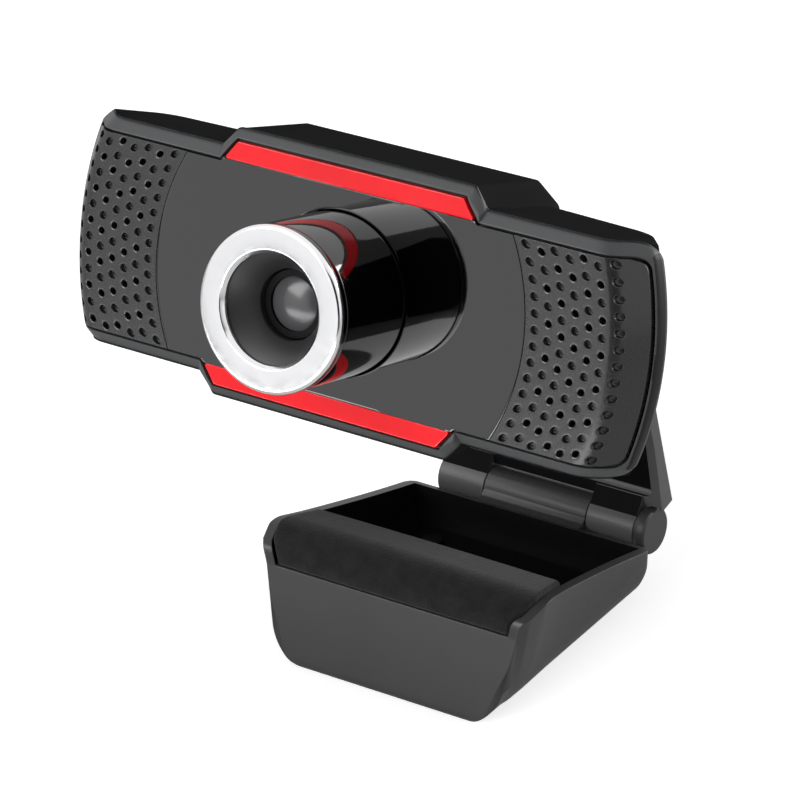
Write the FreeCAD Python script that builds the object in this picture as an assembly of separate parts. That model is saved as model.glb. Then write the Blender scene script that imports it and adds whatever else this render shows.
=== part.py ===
import FreeCAD, Part
import math
import os

# Clip-on webcam standing open on its folding foot.
# Millimetres. +X is to the right of someone facing the lens, -Y is the way the camera looks, +Z is up.
# The origin is the centre of the foot's flat underside.

os.makedirs("parts", exist_ok=True)
Vec = FreeCAD.Vector

# Fits.
seam = 0.12              # gap between pieces that are fixed beside each other
groove = 0.35            # the dark line left open round the panel, the grilles and the foam
pin_play = 0.03          # radial play of a pin in its own hole
turning_gap = 0.30       # gap between pieces that move past each other

# Head: outline and front.
head_radius = 50.3       # where the end facet would meet the back slope, from the lens axis
bend_radius_out = 45.6   # where the flat face would meet the end facet
end_setback = 6.27       # how far back the head's end lies
face_bend = 3.5          # radius between flat face and end facet
wing_height = 33.9       # height of the head at its two ends
block_height = 39.8      # height across the raised middle
block_width = 40.3       # width of the raised middle at its top
block_foot = 45.0        # width of the raised middle where it meets the ends
wing_back = 14.2         # depth of the ends, before they slope to the back
wing_back_radius = 44.6  # distance of that slope's corner from the lens axis
head_depth = 19.2        # depth of the raised middle
back_draft = 1.35        # how much each side draws in from front to back
back_spread = 1.7        # how much wider the middle's foot is at the back
corner_round = 3.5       # rounding of the head's four corners
band = 1.84              # width of the bezel's sloping border, seen from the front
band_depth = 1.55        # depth of that border
housing_wall = 1.6

# Head: panel, inlays and grilles.
sheet = 1.4              # thickness of panel, inlays and grilles
ledge = 1.4              # thickness of the ledge that they sit on
ledge_width = 1.5
window_height = 30.2     # height of the opening that panel and grilles fill
window_corner = 2.4      # rounding of that opening's four corners
inlay_top = 18.05        # outer edge of the red inlays, from the lens axis
inlay_bottom = 15.25     # inner edge of the red inlays
inlay_top_width = 38.6
inlay_bottom_width = 42.8
seam_radius = 30.8       # arc where panel and grille meet
grille_radius = 49.0     # outer end of the grilles
hole_width = 1.22
hole_sides = 6
dimple_depth = 0.5
hole_pitch = 2.32        # height between two holes of a row
hole_rows = 7
holes_in_long_row = 13
first_row_radius = 33.2
last_row_radius = 46.2

# Head: optics.
ring_width = 24.0        # chrome ring, outside
ring_opening = 16.9
ring_front = 16.5        # distance of the ring's front from the face
ring_depth = 1.9
tube_radius = 11.9
tube_wall = 1.3
panel_hole_gap = 0.45    # dark gap between tube and panel
cone_throat = 10.3       # opening at the bottom of the cone
cone_depth = 4.0
cell_nose_radius = 4.9
cell_radius = 6.0        # M12 lens cell
dome_radius = 3.95       # front glass, across
dome_front = 11.1        # its tip, in front of the face
cell_back = 4.6          # back of the lens cell, behind the face
board_place = 9.4        # front of the circuit board, behind the face
board_size = (43.0, 25.0, 1.2)
board_screw_at = (18.6, 9.6)
housing_screw_at = (26.6, 11.6)
screw_radius = 0.9
screw_head_radius = 1.75
post_length = 8.0        # back of the bezel's screw posts, behind the face
screw_head_seat = 12.2   # depth at which the housing screws' heads bear
mic_at = 38.2            # distance of the microphone from the lens axis
boot_back = 6.5          # back of its rubber boot
grommet_at = (11.0, 11.0)   # high enough for a straight cable to pass over the arm
grommet_radius = 3.1
cable_hole_radius = 1.9

# Tilt hinge between arm and head.
tilt_back = 7.9          # tilt axis behind the head's back
tilt_below = 2.5         # tilt axis below the lens axis
lug_width = 9.0
lug_radius = 4.0
ear_width = 3.6
tilt_bolt_radius = 1.5
washer_thick = 0.2
head_tilt = 17.9         # degrees that the lens looks up at rest

# Arm.
arm_width = 42.2
arm_rise = 54.3          # tilt axis above the clip hinge, along the arm
arm_reach = 18.8         # tilt axis in front of the arm's back
arm_back = 4.3           # arm's back behind the clip hinge axis
arm_skin = 1.0
arm_edge = 2.2           # depth of the arm's side flanges
arm_foot_edge = 3.1      # the same at the hinge end
arm_flange = 1.5         # thickness of the side flanges
arm_corner = 7.0
arm_start = 3.2          # lower end of the arm above the hinge axis
recess_start = 5.8       # lower end of the recess in the arm's inner side
shelf_top = 2.3          # shelf's top above the tilt axis
shelf_end = 5.0          # shelf's front edge behind the tilt axis
shelf_width = 22.0
cover_thick = 0.8
pad_thick = 1.0
arm_lean = 11.0          # degrees that the arm leans forward at rest

# Clip hinge.
knuckle_radius = 3.4
centre_knuckle = 18.7
barrel_half = 17.9
hinge_pin_radius = 1.5
clip_wall = 0.5
cap_radius = 3.75
cap_length = 2.1
hinge_behind = 25.6      # hinge axis behind the underside's centre
hinge_height = 9.5

# Foot.
foot_front = -21.1       # lower front edge
foot_back = 21.4
foot_lip = 15.0          # height of the front wall
foot_lean = 4.0          # how far the front wall leans back
top_of_form = 20.0
foot_widths = (          # place, half width at the bottom, half width at top_of_form
    (-24.1, 19.4, 23.2),
    (-17.0, 19.5, 23.6),
    (-15.4, 19.5, 24.6),
    (-12.5, 19.5, 25.1),
    (-6.0, 19.8, 24.5),
    (19.2, 21.4, 23.2),
)
foot_corner = 7.9        # rounding of the long bottom corners
rear_corner = 2.2        # rounding of the two upright corners at the hinge
foot_heel = 7.0          # rounding under the hinge
foot_wall = 1.6
foot_floor = 1.8
sole_trim = 0.05         # how far the flat underside cuts into the round lower corners
nose_front = -17.0       # front of the foam over the nose
nose_shoulder = 17.9     # height where the foam's front turns over
nose_shoulder_bend = 3.2
nose_crest = (-12.2, 20.5)
nose_crest_bend = 5.0
nose_back = (-3.9, 17.9)  # rear edge of the foam
foam_thick = 1.6
ear_shoulder = (-16.9, 17.6)
rim_peak = (-11.6, 19.45)
rim_slope = 17.2         # degrees that the rim falls towards the hinge
liner_wall = 1.5
liner_floor = 3.6
foot_screw_at = ((-14.0, 14.0), (14.0, 14.0), (0.0, 2.0))


# Shapes.
def rounded_wire(corners, place):
    """A closed outline from (a, b) or (a, b, radius) corners, each radius made as a tangent arc."""
    count = len(corners)
    edges = []
    runs = []
    for i, corner in enumerate(corners):
        here = Vec(corner[0], corner[1], 0)
        radius = corner[2] if len(corner) > 2 else 0.0
        before = Vec(corners[i - 1][0], corners[i - 1][1], 0)
        after = Vec(corners[(i + 1) % count][0], corners[(i + 1) % count][1], 0)
        if radius == 0.0:
            runs.append((here, None, here))
            continue
        to_before = (before - here).normalize()
        to_after = (after - here).normalize()
        half = to_before.getAngle(to_after) / 2
        reach = radius / math.tan(half)
        middle = (to_before + to_after).normalize()
        centre = here + middle * (radius / math.sin(half))
        runs.append((here + to_before * reach, centre - middle * radius, here + to_after * reach))
    for i, (start, middle, end) in enumerate(runs):
        if middle is not None:
            edges.append(Part.Arc(place(start), place(middle), place(end)).toShape())
        following = runs[(i + 1) % count][0]
        if (following - end).Length > 1e-6:
            edges.append(Part.LineSegment(place(end), place(following)).toShape())
    return Part.Wire(edges)


def prism_x(corners, low, high):
    """Corners are (y, z)."""
    wire = rounded_wire(corners, lambda p: Vec(low, p.x, p.y))
    return Part.Face(wire).extrude(Vec(high - low, 0, 0))


def prism_y(corners, low, high):
    """Corners are (x, z)."""
    wire = rounded_wire(corners, lambda p: Vec(p.x, low, p.y))
    return Part.Face(wire).extrude(Vec(0, high - low, 0))


def prism_z(corners, low, high):
    """Corners are (x, y)."""
    wire = rounded_wire(corners, lambda p: Vec(p.x, p.y, low))
    return Part.Face(wire).extrude(Vec(0, 0, high - low))


def turned(corners):
    """A solid of revolution about the lens axis, which is the Y axis. Corners are (radius, y)."""
    face = Part.Face(rounded_wire(corners, lambda p: Vec(p.x, p.y, 0)))
    return face.revolve(Vec(0, 0, 0), Vec(0, 1, 0), 360)


def disc_y(radius, low, high, x=0.0, z=0.0):
    return Part.makeCylinder(radius, high - low, Vec(x, low, z), Vec(0, 1, 0))


def disc_x(radius, low, high, y=0.0, z=0.0):
    return Part.makeCylinder(radius, high - low, Vec(low, y, z), Vec(1, 0, 0))


def disc_z(radius, low, high, x=0.0, y=0.0):
    return Part.makeCylinder(radius, high - low, Vec(x, y, low), Vec(0, 0, 1))


def block(x, y, z):
    """A box from three (low, high) pairs."""
    return Part.makeBox(x[1] - x[0], y[1] - y[0], z[1] - z[0], Vec(x[0], y[0], z[0]))


def join(shapes):
    return shapes[0].fuse(shapes[1:]).removeSplitter()


def mirrored(shape):
    return shape.mirror(Vec(0, 0, 0), Vec(1, 0, 0))


# Head: forms that several pieces share.
end_slope = end_setback / (head_radius - bend_radius_out)
band_start = wing_height / 2 - band
bend_end = 60.0          # any distance outside the head


def front_form(push):
    """Everything behind the face, pushed back: flat, then bent back towards the ends."""
    edge = push + (bend_end - bend_radius_out) * end_slope
    return turned([(0, push), (bend_radius_out, push, face_bend), (bend_end, edge), (bend_end, 60), (0, 60)])


def face_sheet(front, back):
    """A sheet that follows the face, between two depths behind it."""
    return front_form(front).cut(front_form(back))


def sloping_border(side):
    """The face form slid back with height, so that it cuts the sloping border of one long side."""
    slope = side * band_depth / band
    slide = FreeCAD.Matrix(1, 0, 0, 0, 0, 1, slope, -band_start * band_depth / band, 0, 0, 1, 0, 0, 0, 0, 1)
    return front_form(0).transformGeometry(slide)


def head_outline():
    """Front view of the two ends with their four rounded corners, as a prism along Y."""
    height = wing_height / 2
    level = height - corner_round
    across = math.sqrt((head_radius - corner_round) ** 2 - level ** 2)
    scale = head_radius / (head_radius - corner_round)
    mid = math.radians(45)
    corners = []
    for x, z in ((1, 1), (1, -1), (-1, -1), (-1, 1)):
        top = Vec(x * across, 0, z * height)
        bend = Vec(x * (across + corner_round * math.cos(mid)), 0, z * (level + corner_round * math.sin(mid)))
        side = Vec(x * across * scale, 0, z * level * scale)
        corners.append((top, bend, side))
    edges = []
    for upper, lower in ((corners[0], corners[1]), (corners[2], corners[3])):
        end = Vec(math.copysign(head_radius, upper[2].x), 0, 0)
        edges.append(Part.Arc(*upper).toShape())
        edges.append(Part.Arc(upper[2], end, lower[2]).toShape())
        edges.append(Part.Arc(*reversed(lower)).toShape())
        following = corners[2] if lower is corners[1] else corners[0]
        edges.append(Part.LineSegment(lower[0], following[0]).toShape())
    return Part.Face(Part.Wire(edges)).extrude(Vec(0, 60, 0))


def head_ends(inset):
    """The two ends of the head in one piece, inset inwards for the inside of the housing."""
    bends = (face_bend, 1.6, 6.0) if inset == 0 else (0, 0, 3.0)
    body = turned([
        (0, inset),
        (bend_radius_out - inset, inset, bends[0]),
        (head_radius - 1.25 * inset, end_setback, bends[1]),
        (wing_back_radius - inset, wing_back - 0.8 * inset, bends[2]),
        (0, head_depth - inset),
    ])
    top = wing_height / 2 - inset
    draft = back_draft / head_depth * 60
    slab = prism_x([(0, top), (0, -top), (60, -top + draft), (60, top - draft)], -60, 60)
    body = body.common(slab)
    if inset == 0:
        body = body.common(sloping_border(1)).common(sloping_border(-1)).common(head_outline())
    return body


def block_section(y, inset, drawn_in, spread):
    """Front view of the raised middle at one depth."""
    top = block_height / 2 - inset - drawn_in
    foot = wing_height / 2 - inset - drawn_in
    top_half = block_width / 2 - 0.6 * inset
    foot_half = block_foot / 2 - inset + spread
    bend = 1.2 if inset == 0 else 0
    corners = [(-top_half, top, bend), (top_half, top, bend), (foot_half, foot, bend), (foot_half, -foot, bend),
               (top_half, -top, bend), (-top_half, -top, bend), (-foot_half, -foot, bend), (-foot_half, foot, bend)]
    return rounded_wire(corners, lambda p: Vec(p.x, y, p.y))


def head_middle(inset):
    """The raised middle, with its sloping border in front and a small bevel behind."""
    bevel = 1.0
    back = head_depth - inset
    if inset == 0:
        stations = [(0, band, 0, 0), (band_depth, 0, 0.1, 0.1), (back - bevel, 0, back_draft, back_spread),
                    (back, bevel, back_draft, back_spread)]
    else:
        stations = [(inset, inset, 0.1, 0.1), (back, inset, back_draft, back_spread)]
    sections = [block_section(*station) for station in stations]
    lofts = [Part.makeLoft([a, b], True, True) for a, b in zip(sections, sections[1:])]
    return lofts[0].fuse(lofts[1:])


def window(inset):
    """Front view of the opening that holds panel, inlays and grilles, as a prism along Y."""
    top = inlay_top - inset + groove
    side = window_height / 2 - inset
    slope = (inlay_bottom_width - inlay_top_width) / 2 / (inlay_top - inlay_bottom)
    top_half = inlay_top_width / 2 - 0.6 * inset + groove
    foot_half = top_half + (top - side) * slope
    corners = [(-top_half, top), (top_half, top), (foot_half, side), (60, side), (60, -side), (foot_half, -side),
               (top_half, -top), (-top_half, -top), (-foot_half, -side), (-60, -side), (-60, side),
               (-foot_half, side)]
    opening = prism_y(corners, -5, 20).common(disc_y(grille_radius + groove - inset, -5, 20))
    ends = []
    for edge in opening.Edges:
        middle = edge.CenterOfMass
        if abs(middle.x) > seam_radius and abs(middle.z) > side - 0.1 and abs(middle.y - 7.5) < 0.1:
            ends.append(edge)
    return opening.makeFillet(window_corner - inset, ends)


def inlay_outline(side, shrink):
    """Front view of one red inlay as a prism along Y. Side is 1 above the lens, -1 below."""
    top = side * (inlay_top - shrink)
    bottom = side * (inlay_bottom + shrink)
    wide = inlay_bottom_width / 2 - shrink
    narrow = inlay_top_width / 2 - shrink
    return prism_y([(-narrow, top), (narrow, top), (wide, bottom), (-wide, bottom)], -5, 20)


def place_on_head(shape):
    """From the head's own frame, centred on the face, to the row's frame at rest."""
    moved = shape.copy()
    moved.rotate(Vec(0, 0, 0), Vec(1, 0, 0), -head_tilt)
    moved.translate(face_centre)
    return moved


def place_on_arm(shape):
    """From the arm's own frame, centred on the clip hinge, to the row's frame at rest."""
    moved = shape.copy()
    moved.rotate(Vec(0, 0, 0), Vec(1, 0, 0), arm_lean)
    moved.translate(Vec(0, hinge_behind, hinge_height))
    return moved


# Where the arm's lean and the head's tilt bring the tilt axis and the face.
tilt_in_arm = Vec(0, arm_back - arm_reach, arm_rise)
tilt_in_head = Vec(0, head_depth + tilt_back, -tilt_below)
tilt_axis = FreeCAD.Rotation(Vec(1, 0, 0), arm_lean).multVec(tilt_in_arm) + Vec(0, hinge_behind, hinge_height)
face_centre = tilt_axis - FreeCAD.Rotation(Vec(1, 0, 0), -head_tilt).multVec(tilt_in_head)


# Head: pieces.
def make_front_bezel():
    outside = head_ends(0).fuse(head_middle(0)).common(face_sheet(0, band_depth + 0.2))
    rim = outside.cut(window(0))
    inner = head_ends(housing_wall + seam).fuse(head_middle(housing_wall + seam))
    inner = inner.common(disc_y(grille_radius + groove - ledge_width, 0, 20))
    seat = inner.common(face_sheet(sheet + seam, sheet + seam + ledge))
    seat = seat.cut(window(ledge_width))
    joined = rim.fuse(seat.fuse(web_behind_panel()))
    posts = []
    for x in (-1, 1):
        for z in (-1, 1):
            at = dict(x=x * housing_screw_at[0], z=z * housing_screw_at[1])
            posts.append(disc_y(2.4, sheet + seam, post_length, **at).cut(disc_y(screw_radius, 3.0, 30, **at)))
        at = dict(x=x * board_screw_at[0], z=x * board_screw_at[1])
        posts.append(disc_y(2.2, sheet + seam, board_place - seam, **at).cut(disc_y(screw_radius, 4.0, 30, **at)))
    return join([joined] + posts)


def web_behind_panel():
    """The plate behind the glossy panel that carries the barrel and the screw posts."""
    plate = disc_y(seam_radius + 1.2, sheet + seam, sheet + seam + ledge)
    top = wing_height / 2 - housing_wall - 0.6
    plate = plate.common(block((-60, 60), (0, 10), (-top, top)))
    return plate.cut(disc_y(tube_radius + panel_hole_gap, -1, 10))


def make_face_panel():
    area = window(groove).common(disc_y(seam_radius - seam / 2, -5, 20))
    panel = area.common(face_sheet(0, sheet))
    panel = panel.cut(disc_y(tube_radius + panel_hole_gap, -1, 5))
    for side in (1, -1):
        panel = panel.cut(inlay_outline(side, -0.04).fuse(inlay_outline(side, -0.04).translated(Vec(0, 0, side * 0.6))))
    return panel


def make_inlay(side):
    return inlay_outline(side, 0).common(block((-30, 30), (0, sheet), (-30, 30)))


def grille_holes():
    """Through holes and blind dimples of the right grille, on arcs about the lens axis."""
    through = []
    blind = []
    spacing = (last_row_radius - first_row_radius) / (hole_rows - 1)
    for row in range(hole_rows):
        radius = first_row_radius + row * spacing
        short = row % 2
        count = holes_in_long_row - short
        for i in range(count):
            z = (i - (count - 1) / 2) * hole_pitch
            x = math.sqrt(radius ** 2 - z ** 2)
            is_through = 0 < row < hole_rows - 1 and i % 2 == (row // 2 + short) % 2
            (through if is_through else blind).append((x, z, radius))
    return through, blind


def hole_tool(x, z, y_low, y_high):
    step = 2 * math.pi / hole_sides
    ring = [(x + hole_width / 2 * math.cos((i + 0.5) * step), z + hole_width / 2 * math.sin((i + 0.5) * step))
            for i in range(hole_sides)]
    return prism_y(ring, y_low, y_high)


def make_right_grille():
    area = window(groove).cut(disc_y(seam_radius + seam / 2, -6, 25))
    area = area.common(block((0, 70), (-5, 20), (-30, 30)))
    plate = area.common(face_sheet(0, sheet))
    through, blind = grille_holes()
    tools = [hole_tool(x, z, -2, 12) for x, z, radius in through]
    bend = bend_radius_out - face_bend / 2
    for x, z, radius in blind:
        floor = dimple_depth + max(0.0, radius - bend) * 0.7
        tools.append(hole_tool(x, z, -2, floor))
    return plate.cut(tools)


def housing_outside():
    return head_ends(0).fuse(head_middle(0)).cut(face_sheet(-1, band_depth + 0.2 + seam))


def make_rear_housing():
    inside = head_ends(housing_wall).fuse(head_middle(housing_wall))
    shell = housing_outside().cut(inside)
    lug = prism_x([
        (head_depth - 1.0, lug_radius + 2.2 - tilt_below),
        (head_depth + tilt_back, lug_radius - tilt_below),
        (head_depth + tilt_back, -lug_radius - tilt_below),
        (head_depth - 1.0, -lug_radius - 2.2 - tilt_below),
    ], -lug_width / 2, lug_width / 2)
    extras = [lug]
    extras.append(disc_x(lug_radius, -lug_width / 2, lug_width / 2, head_depth + tilt_back, -tilt_below))
    boss_room = head_ends(0.3).fuse(head_middle(0.3))
    for x in (-1, 1):
        for z in (-1, 1):
            at = dict(x=x * housing_screw_at[0], z=z * housing_screw_at[1])
            extras.append(disc_y(3.2, post_length + seam, 30, **at).common(boss_room))
    mic = dict(x=-mic_at, z=0)
    extras.append(disc_y(4.4, boot_back + seam, 30, **mic).common(boss_room))
    shell = join([shell] + extras)
    for x in (-1, 1):
        for z in (-1, 1):
            at = dict(x=x * housing_screw_at[0], z=z * housing_screw_at[1])
            shell = shell.cut(disc_y(screw_radius + 0.3, 0, 30, **at))
            shell = shell.cut(disc_y(screw_head_radius + 0.2, screw_head_seat, 30, **at))
    shell = shell.cut(disc_x(tilt_bolt_radius + pin_play, -20, 20, head_depth + tilt_back, -tilt_below))
    shell = shell.cut(disc_y(grommet_radius, 10, 30, grommet_at[0], grommet_at[1]))
    return shell


def make_screw(length, head_wide, head_high, radius):
    """A pan-head screw along +Y: its head's top at y = 0 and its tip at y = -length."""
    return turned([(0, -length), (radius, -length), (radius, -head_high), (head_wide, -head_high), (head_wide, 0), (0, 0)])


def make_housing_screws():
    screw = make_screw(9.0, screw_head_radius, 1.2, screw_radius - seam / 2)
    screws = []
    for x in (-1, 1):
        for z in (-1, 1):
            spot = Vec(x * housing_screw_at[0], screw_head_seat + 1.2, z * housing_screw_at[1])
            screws.append(screw.translated(spot))
    return Part.Compound(screws)


def make_board_screws():
    screw = make_screw(5.5, 1.6, 1.0, screw_radius - seam / 2)
    back = board_place + board_size[2] + 1.02
    screws = [screw.translated(Vec(x * board_screw_at[0], back, x * board_screw_at[1])) for x in (-1, 1)]
    return Part.Compound(screws)


def make_lens_tube():
    """The black barrel, with a flange glued behind the web."""
    flange = sheet + seam + ledge
    return turned([
        (tube_radius - tube_wall, -ring_front + ring_depth + seam),
        (tube_radius, -ring_front + ring_depth + seam),
        (tube_radius, flange + seam),
        (tube_radius + 2.0, flange + seam),
        (tube_radius + 2.0, flange + seam + 1.2),
        (tube_radius - tube_wall, flange + seam + 1.2),
    ])


def make_chrome_ring():
    outer = ring_width / 2
    inner = ring_opening / 2
    front = -ring_front
    return turned([
        (outer, front + ring_depth),
        (outer, front + 0.6),
        (outer - 0.6, front),
        (inner + 0.6, front + 0.2),
        (inner, front + 0.8),
        (inner, front + ring_depth),
    ])


def make_lens_hood():
    """The matt cone between the ring and the lens. It turns with the ring and grips the lens cell."""
    back_of_ring = -ring_front + ring_depth
    throat = cone_throat / 2
    cone_end = -ring_front + 1.3 + cone_depth
    outer = tube_radius - tube_wall - turning_gap
    return turned([
        (ring_opening / 2 - seam, -ring_front + 1.0),
        (ring_opening / 2 - seam, back_of_ring + seam),
        (outer, back_of_ring + seam),
        (outer, -1.5),
        (cell_radius + pin_play, -1.5),
        (cell_radius + pin_play, cone_end + 2.4),
        (throat, cone_end + 2.4),
        (throat, cone_end),
    ])


def make_lens_cell():
    """The lens barrel: a narrow nose in the cone's throat and an M12 body behind it."""
    nose_back = -ring_front + 1.3 + cone_depth + 2.4 + 0.3
    body = turned([
        (dome_radius, -dome_front + 0.75),
        (cell_nose_radius, -dome_front + 0.75),
        (cell_nose_radius, nose_back),
        (cell_radius, nose_back),
        (cell_radius, cell_back),
        (3.2, cell_back),
        (3.2, -7.0),
        (dome_radius, -7.0),
    ])
    return body


def make_front_lens():
    """A domed glass: a cap of a sphere in front, a cylinder and a flat back."""
    rim = -dome_front + 1.25
    sag = rim + dome_front
    radius = (dome_radius ** 2 + sag ** 2) / (2 * sag)
    ball = Part.makeSphere(radius, Vec(0, -dome_front + radius, 0))
    cap = ball.common(disc_y(dome_radius - 0.02, -dome_front - 1, rim))
    return cap.fuse(disc_y(dome_radius - 0.02, rim - 0.001, -7.4)).removeSplitter()


def make_inner_lenses():
    """Two smaller elements, stacked inside the cell behind the front glass."""
    return Part.Compound([disc_y(3.15, -6.2, -4.6), disc_y(3.15, 1.4, 3.6)])


def make_lens_spacer():
    return disc_y(3.15, -4.5, 1.3).cut(disc_y(1.8, -5, 2))


def make_lens_holder():
    """The threaded holder on the circuit board, with a square foot."""
    sleeve = turned([(cell_radius + pin_play, -0.6), (8.2, -0.6), (8.2, 7.2), (cell_radius + pin_play, 7.2)])
    foot = block((-8.6, 8.6), (6.2, board_place - seam), (-8.6, 8.6))
    foot = foot.cut(block((-5.6, 5.6), (6.0, 12.0), (-5.6, 5.6)))
    return join([sleeve.cut(block((-5.6, 5.6), (6.2, 12), (-5.6, 5.6))), foot])


def make_infrared_filter():
    return block((-3.6, 3.6), (6.6, 7.0), (-3.6, 3.6))


def make_filter_frame():
    """The small frame that holds the filter in the holder's foot."""
    outer = block((-5.5, 5.5), (6.3, 7.3), (-5.5, 5.5))
    return outer.cut([block((-3.62, 3.62), (6.55, 7.05), (-3.62, 3.62)), block((-3.2, 3.2), (6, 8), (-3.2, 3.2))])


def make_image_sensor():
    return block((-4.2, 4.2), (board_place - 1.1, board_place - 0.01), (-3.9, 3.9))


def make_circuit_board():
    wide, tall, thick = board_size
    board = block((-wide / 2, wide / 2), (board_place, board_place + thick), (-tall / 2, tall / 2))
    holes = [disc_y(screw_radius + 0.15, 0, 20, x * board_screw_at[0], x * board_screw_at[1]) for x in (-1, 1)]
    return board.cut(holes)


def make_board_chips():
    """The processor and the memory on the back of the board."""
    back = board_place + board_size[2] + 0.01
    return Part.Compound([block((-4, 4), (back, back + 1.0), (-1, 7)), block((-13, -8), (back, back + 0.8), (-3, 3))])


def make_cable_header():
    back = board_place + board_size[2] + 0.01
    header = block((5.5, 15.5), (back, back + 4.2), (-9.5, -5.3))
    return header.cut(block((6.2, 14.8), (back + 1.0, back + 5), (-8.9, -5.9)))


def make_microphone():
    return disc_y(2.0, sheet + 0.9, sheet + 3.2, x=-mic_at)


def make_microphone_boot():
    boot = disc_y(3.6, sheet + 0.05, boot_back, x=-mic_at)
    return boot.cut([disc_y(2.02, sheet + 0.85, sheet + 3.25, x=-mic_at), disc_y(1.2, 0, sheet + 1, x=-mic_at)])


def make_cable_grommet():
    """A rubber bush in the back wall, with a collar on each side of it."""
    x, z = grommet_at
    back = head_depth
    inside = head_depth - housing_wall
    bush = disc_y(grommet_radius - 0.03, inside - 1.2, back + 1.2, x, z)
    outer_collar = disc_y(grommet_radius + 0.9, back + 0.03, back + 1.2, x, z)
    inner_collar = disc_y(grommet_radius + 0.7, inside - 1.2, inside - 0.03, x, z)
    return bush.fuse([outer_collar, inner_collar]).cut(disc_y(cable_hole_radius, 10, 40, x, z))


# Arm.
def arm_sheet(outer, inner, inner_foot):
    """The arm's bent sheet between two depths from its back and top, as a prism across it."""
    back = arm_back
    top = arm_rise + shelf_top
    front = arm_back - arm_reach + shelf_end
    bend = max(arm_corner - outer, 0.5)
    inner_bend = max(arm_corner - inner, 0.5)
    lower = inner_foot if inner_foot else inner
    return prism_x([
        (back - outer, arm_start),
        (back - outer, top - outer, bend),
        (front, top - outer),
        (front, top - inner),
        (back - inner, top - inner, inner_bend),
        (back - inner, arm_start + 12.0),
        (back - lower, arm_start),
    ], -arm_width / 2, arm_width / 2)


def arm_outline(inset):
    """The arm seen from above: full width down the back, drawn in along the shelf."""
    half = arm_width / 2 - inset
    tip = shelf_width / 2 - inset * 0.8
    front = arm_back - arm_reach + shelf_end + inset
    return prism_z([
        (-half, 10), (half, 10), (half, 0.5, 3.0), (tip, front + 1.0, 2.0), (tip, front),
        (-tip, front), (-tip, front + 1.0, 2.0), (-half, 0.5, 3.0),
    ], -10, arm_rise + 20)


def make_arm_shell():
    shell = arm_sheet(0, arm_edge, arm_foot_edge).common(arm_outline(0))
    recess = arm_sheet(arm_skin, arm_edge + 2, arm_foot_edge + 2).common(arm_outline(arm_flange))
    recess = recess.common(block((-50, 50), (-50, 50), (recess_start, 100)))
    shell = shell.cut(recess)
    swing = knuckle_radius + turning_gap
    shell = shell.cut(disc_x(swing, -30, 30))
    shell = shell.cut(disc_x(cap_radius + turning_gap, barrel_half - 0.1, barrel_half + cap_length + 0.5))
    inner_side = centre_knuckle / 2 + turning_gap / 2
    knuckles = []
    for low, high in ((-barrel_half, -inner_side), (inner_side, barrel_half)):
        web = prism_x([
            (-1.2, knuckle_radius - 0.25), (arm_back - arm_foot_edge, arm_start + 2.2), (arm_back, arm_start + 2.2),
            (arm_back, arm_start), (knuckle_radius - 0.1, 0.6),
        ], low, high)
        knuckles.extend([disc_x(knuckle_radius, low, high), web])
    ears = []
    at = tilt_in_arm
    gap = lug_width / 2 + turning_gap
    for low, high in ((-gap - ear_width, -gap), (gap, gap + ear_width)):
        web = prism_x([
            (at.y, at.z + lug_radius), (at.y + shelf_end + 1.5, at.z + shelf_top),
            (at.y + shelf_end + 1.5, at.z + shelf_top - arm_edge), (at.y + 1.0, at.z - lug_radius),
        ], low, high)
        ears.extend([disc_x(lug_radius, low, high, at.y, at.z), web])
    shell = join([shell] + knuckles + ears)
    shell = shell.cut(disc_x(hinge_pin_radius + pin_play, -30, 30))
    shell = shell.cut(disc_x(tilt_bolt_radius + pin_play, -30, 30, at.y, at.z))
    shell = shell.cut(nut_shape(gap + ear_width - 1.8, 8.0, 0.1).mirror(Vec(0, 0, 0), Vec(1, 0, 0)))
    shell = shell.cut(disc_x(2.9, gap + ear_width - 1.2, 30, at.y, at.z))
    return shell


def nut_shape(low, length, play):
    """A hexagon along X on the tilt axis, in the arm's frame, 5.5 mm across its flats."""
    at = tilt_in_arm
    across = (5.5 / 2 + play) / math.cos(math.pi / 6)
    corners = [(at.y + across * math.cos(i * math.pi / 3), at.z + across * math.sin(i * math.pi / 3))
               for i in range(6)]
    return prism_x(corners, low, low + length)


def make_arm_cover():
    depth = arm_skin + seam
    cover = arm_sheet(depth, depth + cover_thick, 0).common(arm_outline(arm_flange + groove))
    return cover.common(block((-50, 50), (-50, 50), (recess_start + groove, 100)))


def make_shelf_pad():
    top = arm_rise + shelf_top - arm_skin - seam - cover_thick - 0.05
    front = arm_back - arm_reach + shelf_end + 2.4
    corners = [(-8, front, 1.5), (8, front, 1.5), (12, front + 4.0, 1.5), (-12, front + 4.0, 1.5)]
    return prism_z(corners, top - pad_thick, top)


def make_tilt_bolt():
    at = tilt_in_arm
    reach = lug_width / 2 + turning_gap + ear_width
    shank = disc_x(tilt_bolt_radius, -reach + 0.2, reach - 0.6, at.y, at.z)
    return shank.fuse(disc_x(2.75, reach - 1.1, reach + 0.5, at.y, at.z)).removeSplitter()


def make_tilt_nut():
    reach = lug_width / 2 + turning_gap + ear_width
    nut = nut_shape(reach - 1.7, 2.0, 0).cut(disc_x(tilt_bolt_radius + 0.01, 0, 30, tilt_in_arm.y, tilt_in_arm.z))
    return mirrored(nut)


def make_tilt_washers():
    at = tilt_in_arm
    washers = []
    for side in (-1, 1):
        middle = side * (lug_width / 2 + turning_gap / 2)
        low = middle - washer_thick / 2
        ring = disc_x(3.3, low, low + washer_thick, at.y, at.z)
        washers.append(ring.cut(disc_x(tilt_bolt_radius + 0.02, low - 1, low + 1, at.y, at.z)))
    return Part.Compound(washers)


# Clip hinge.
def make_hinge_pin():
    return disc_x(hinge_pin_radius, -barrel_half + 0.3, barrel_half + 1.3)


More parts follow.
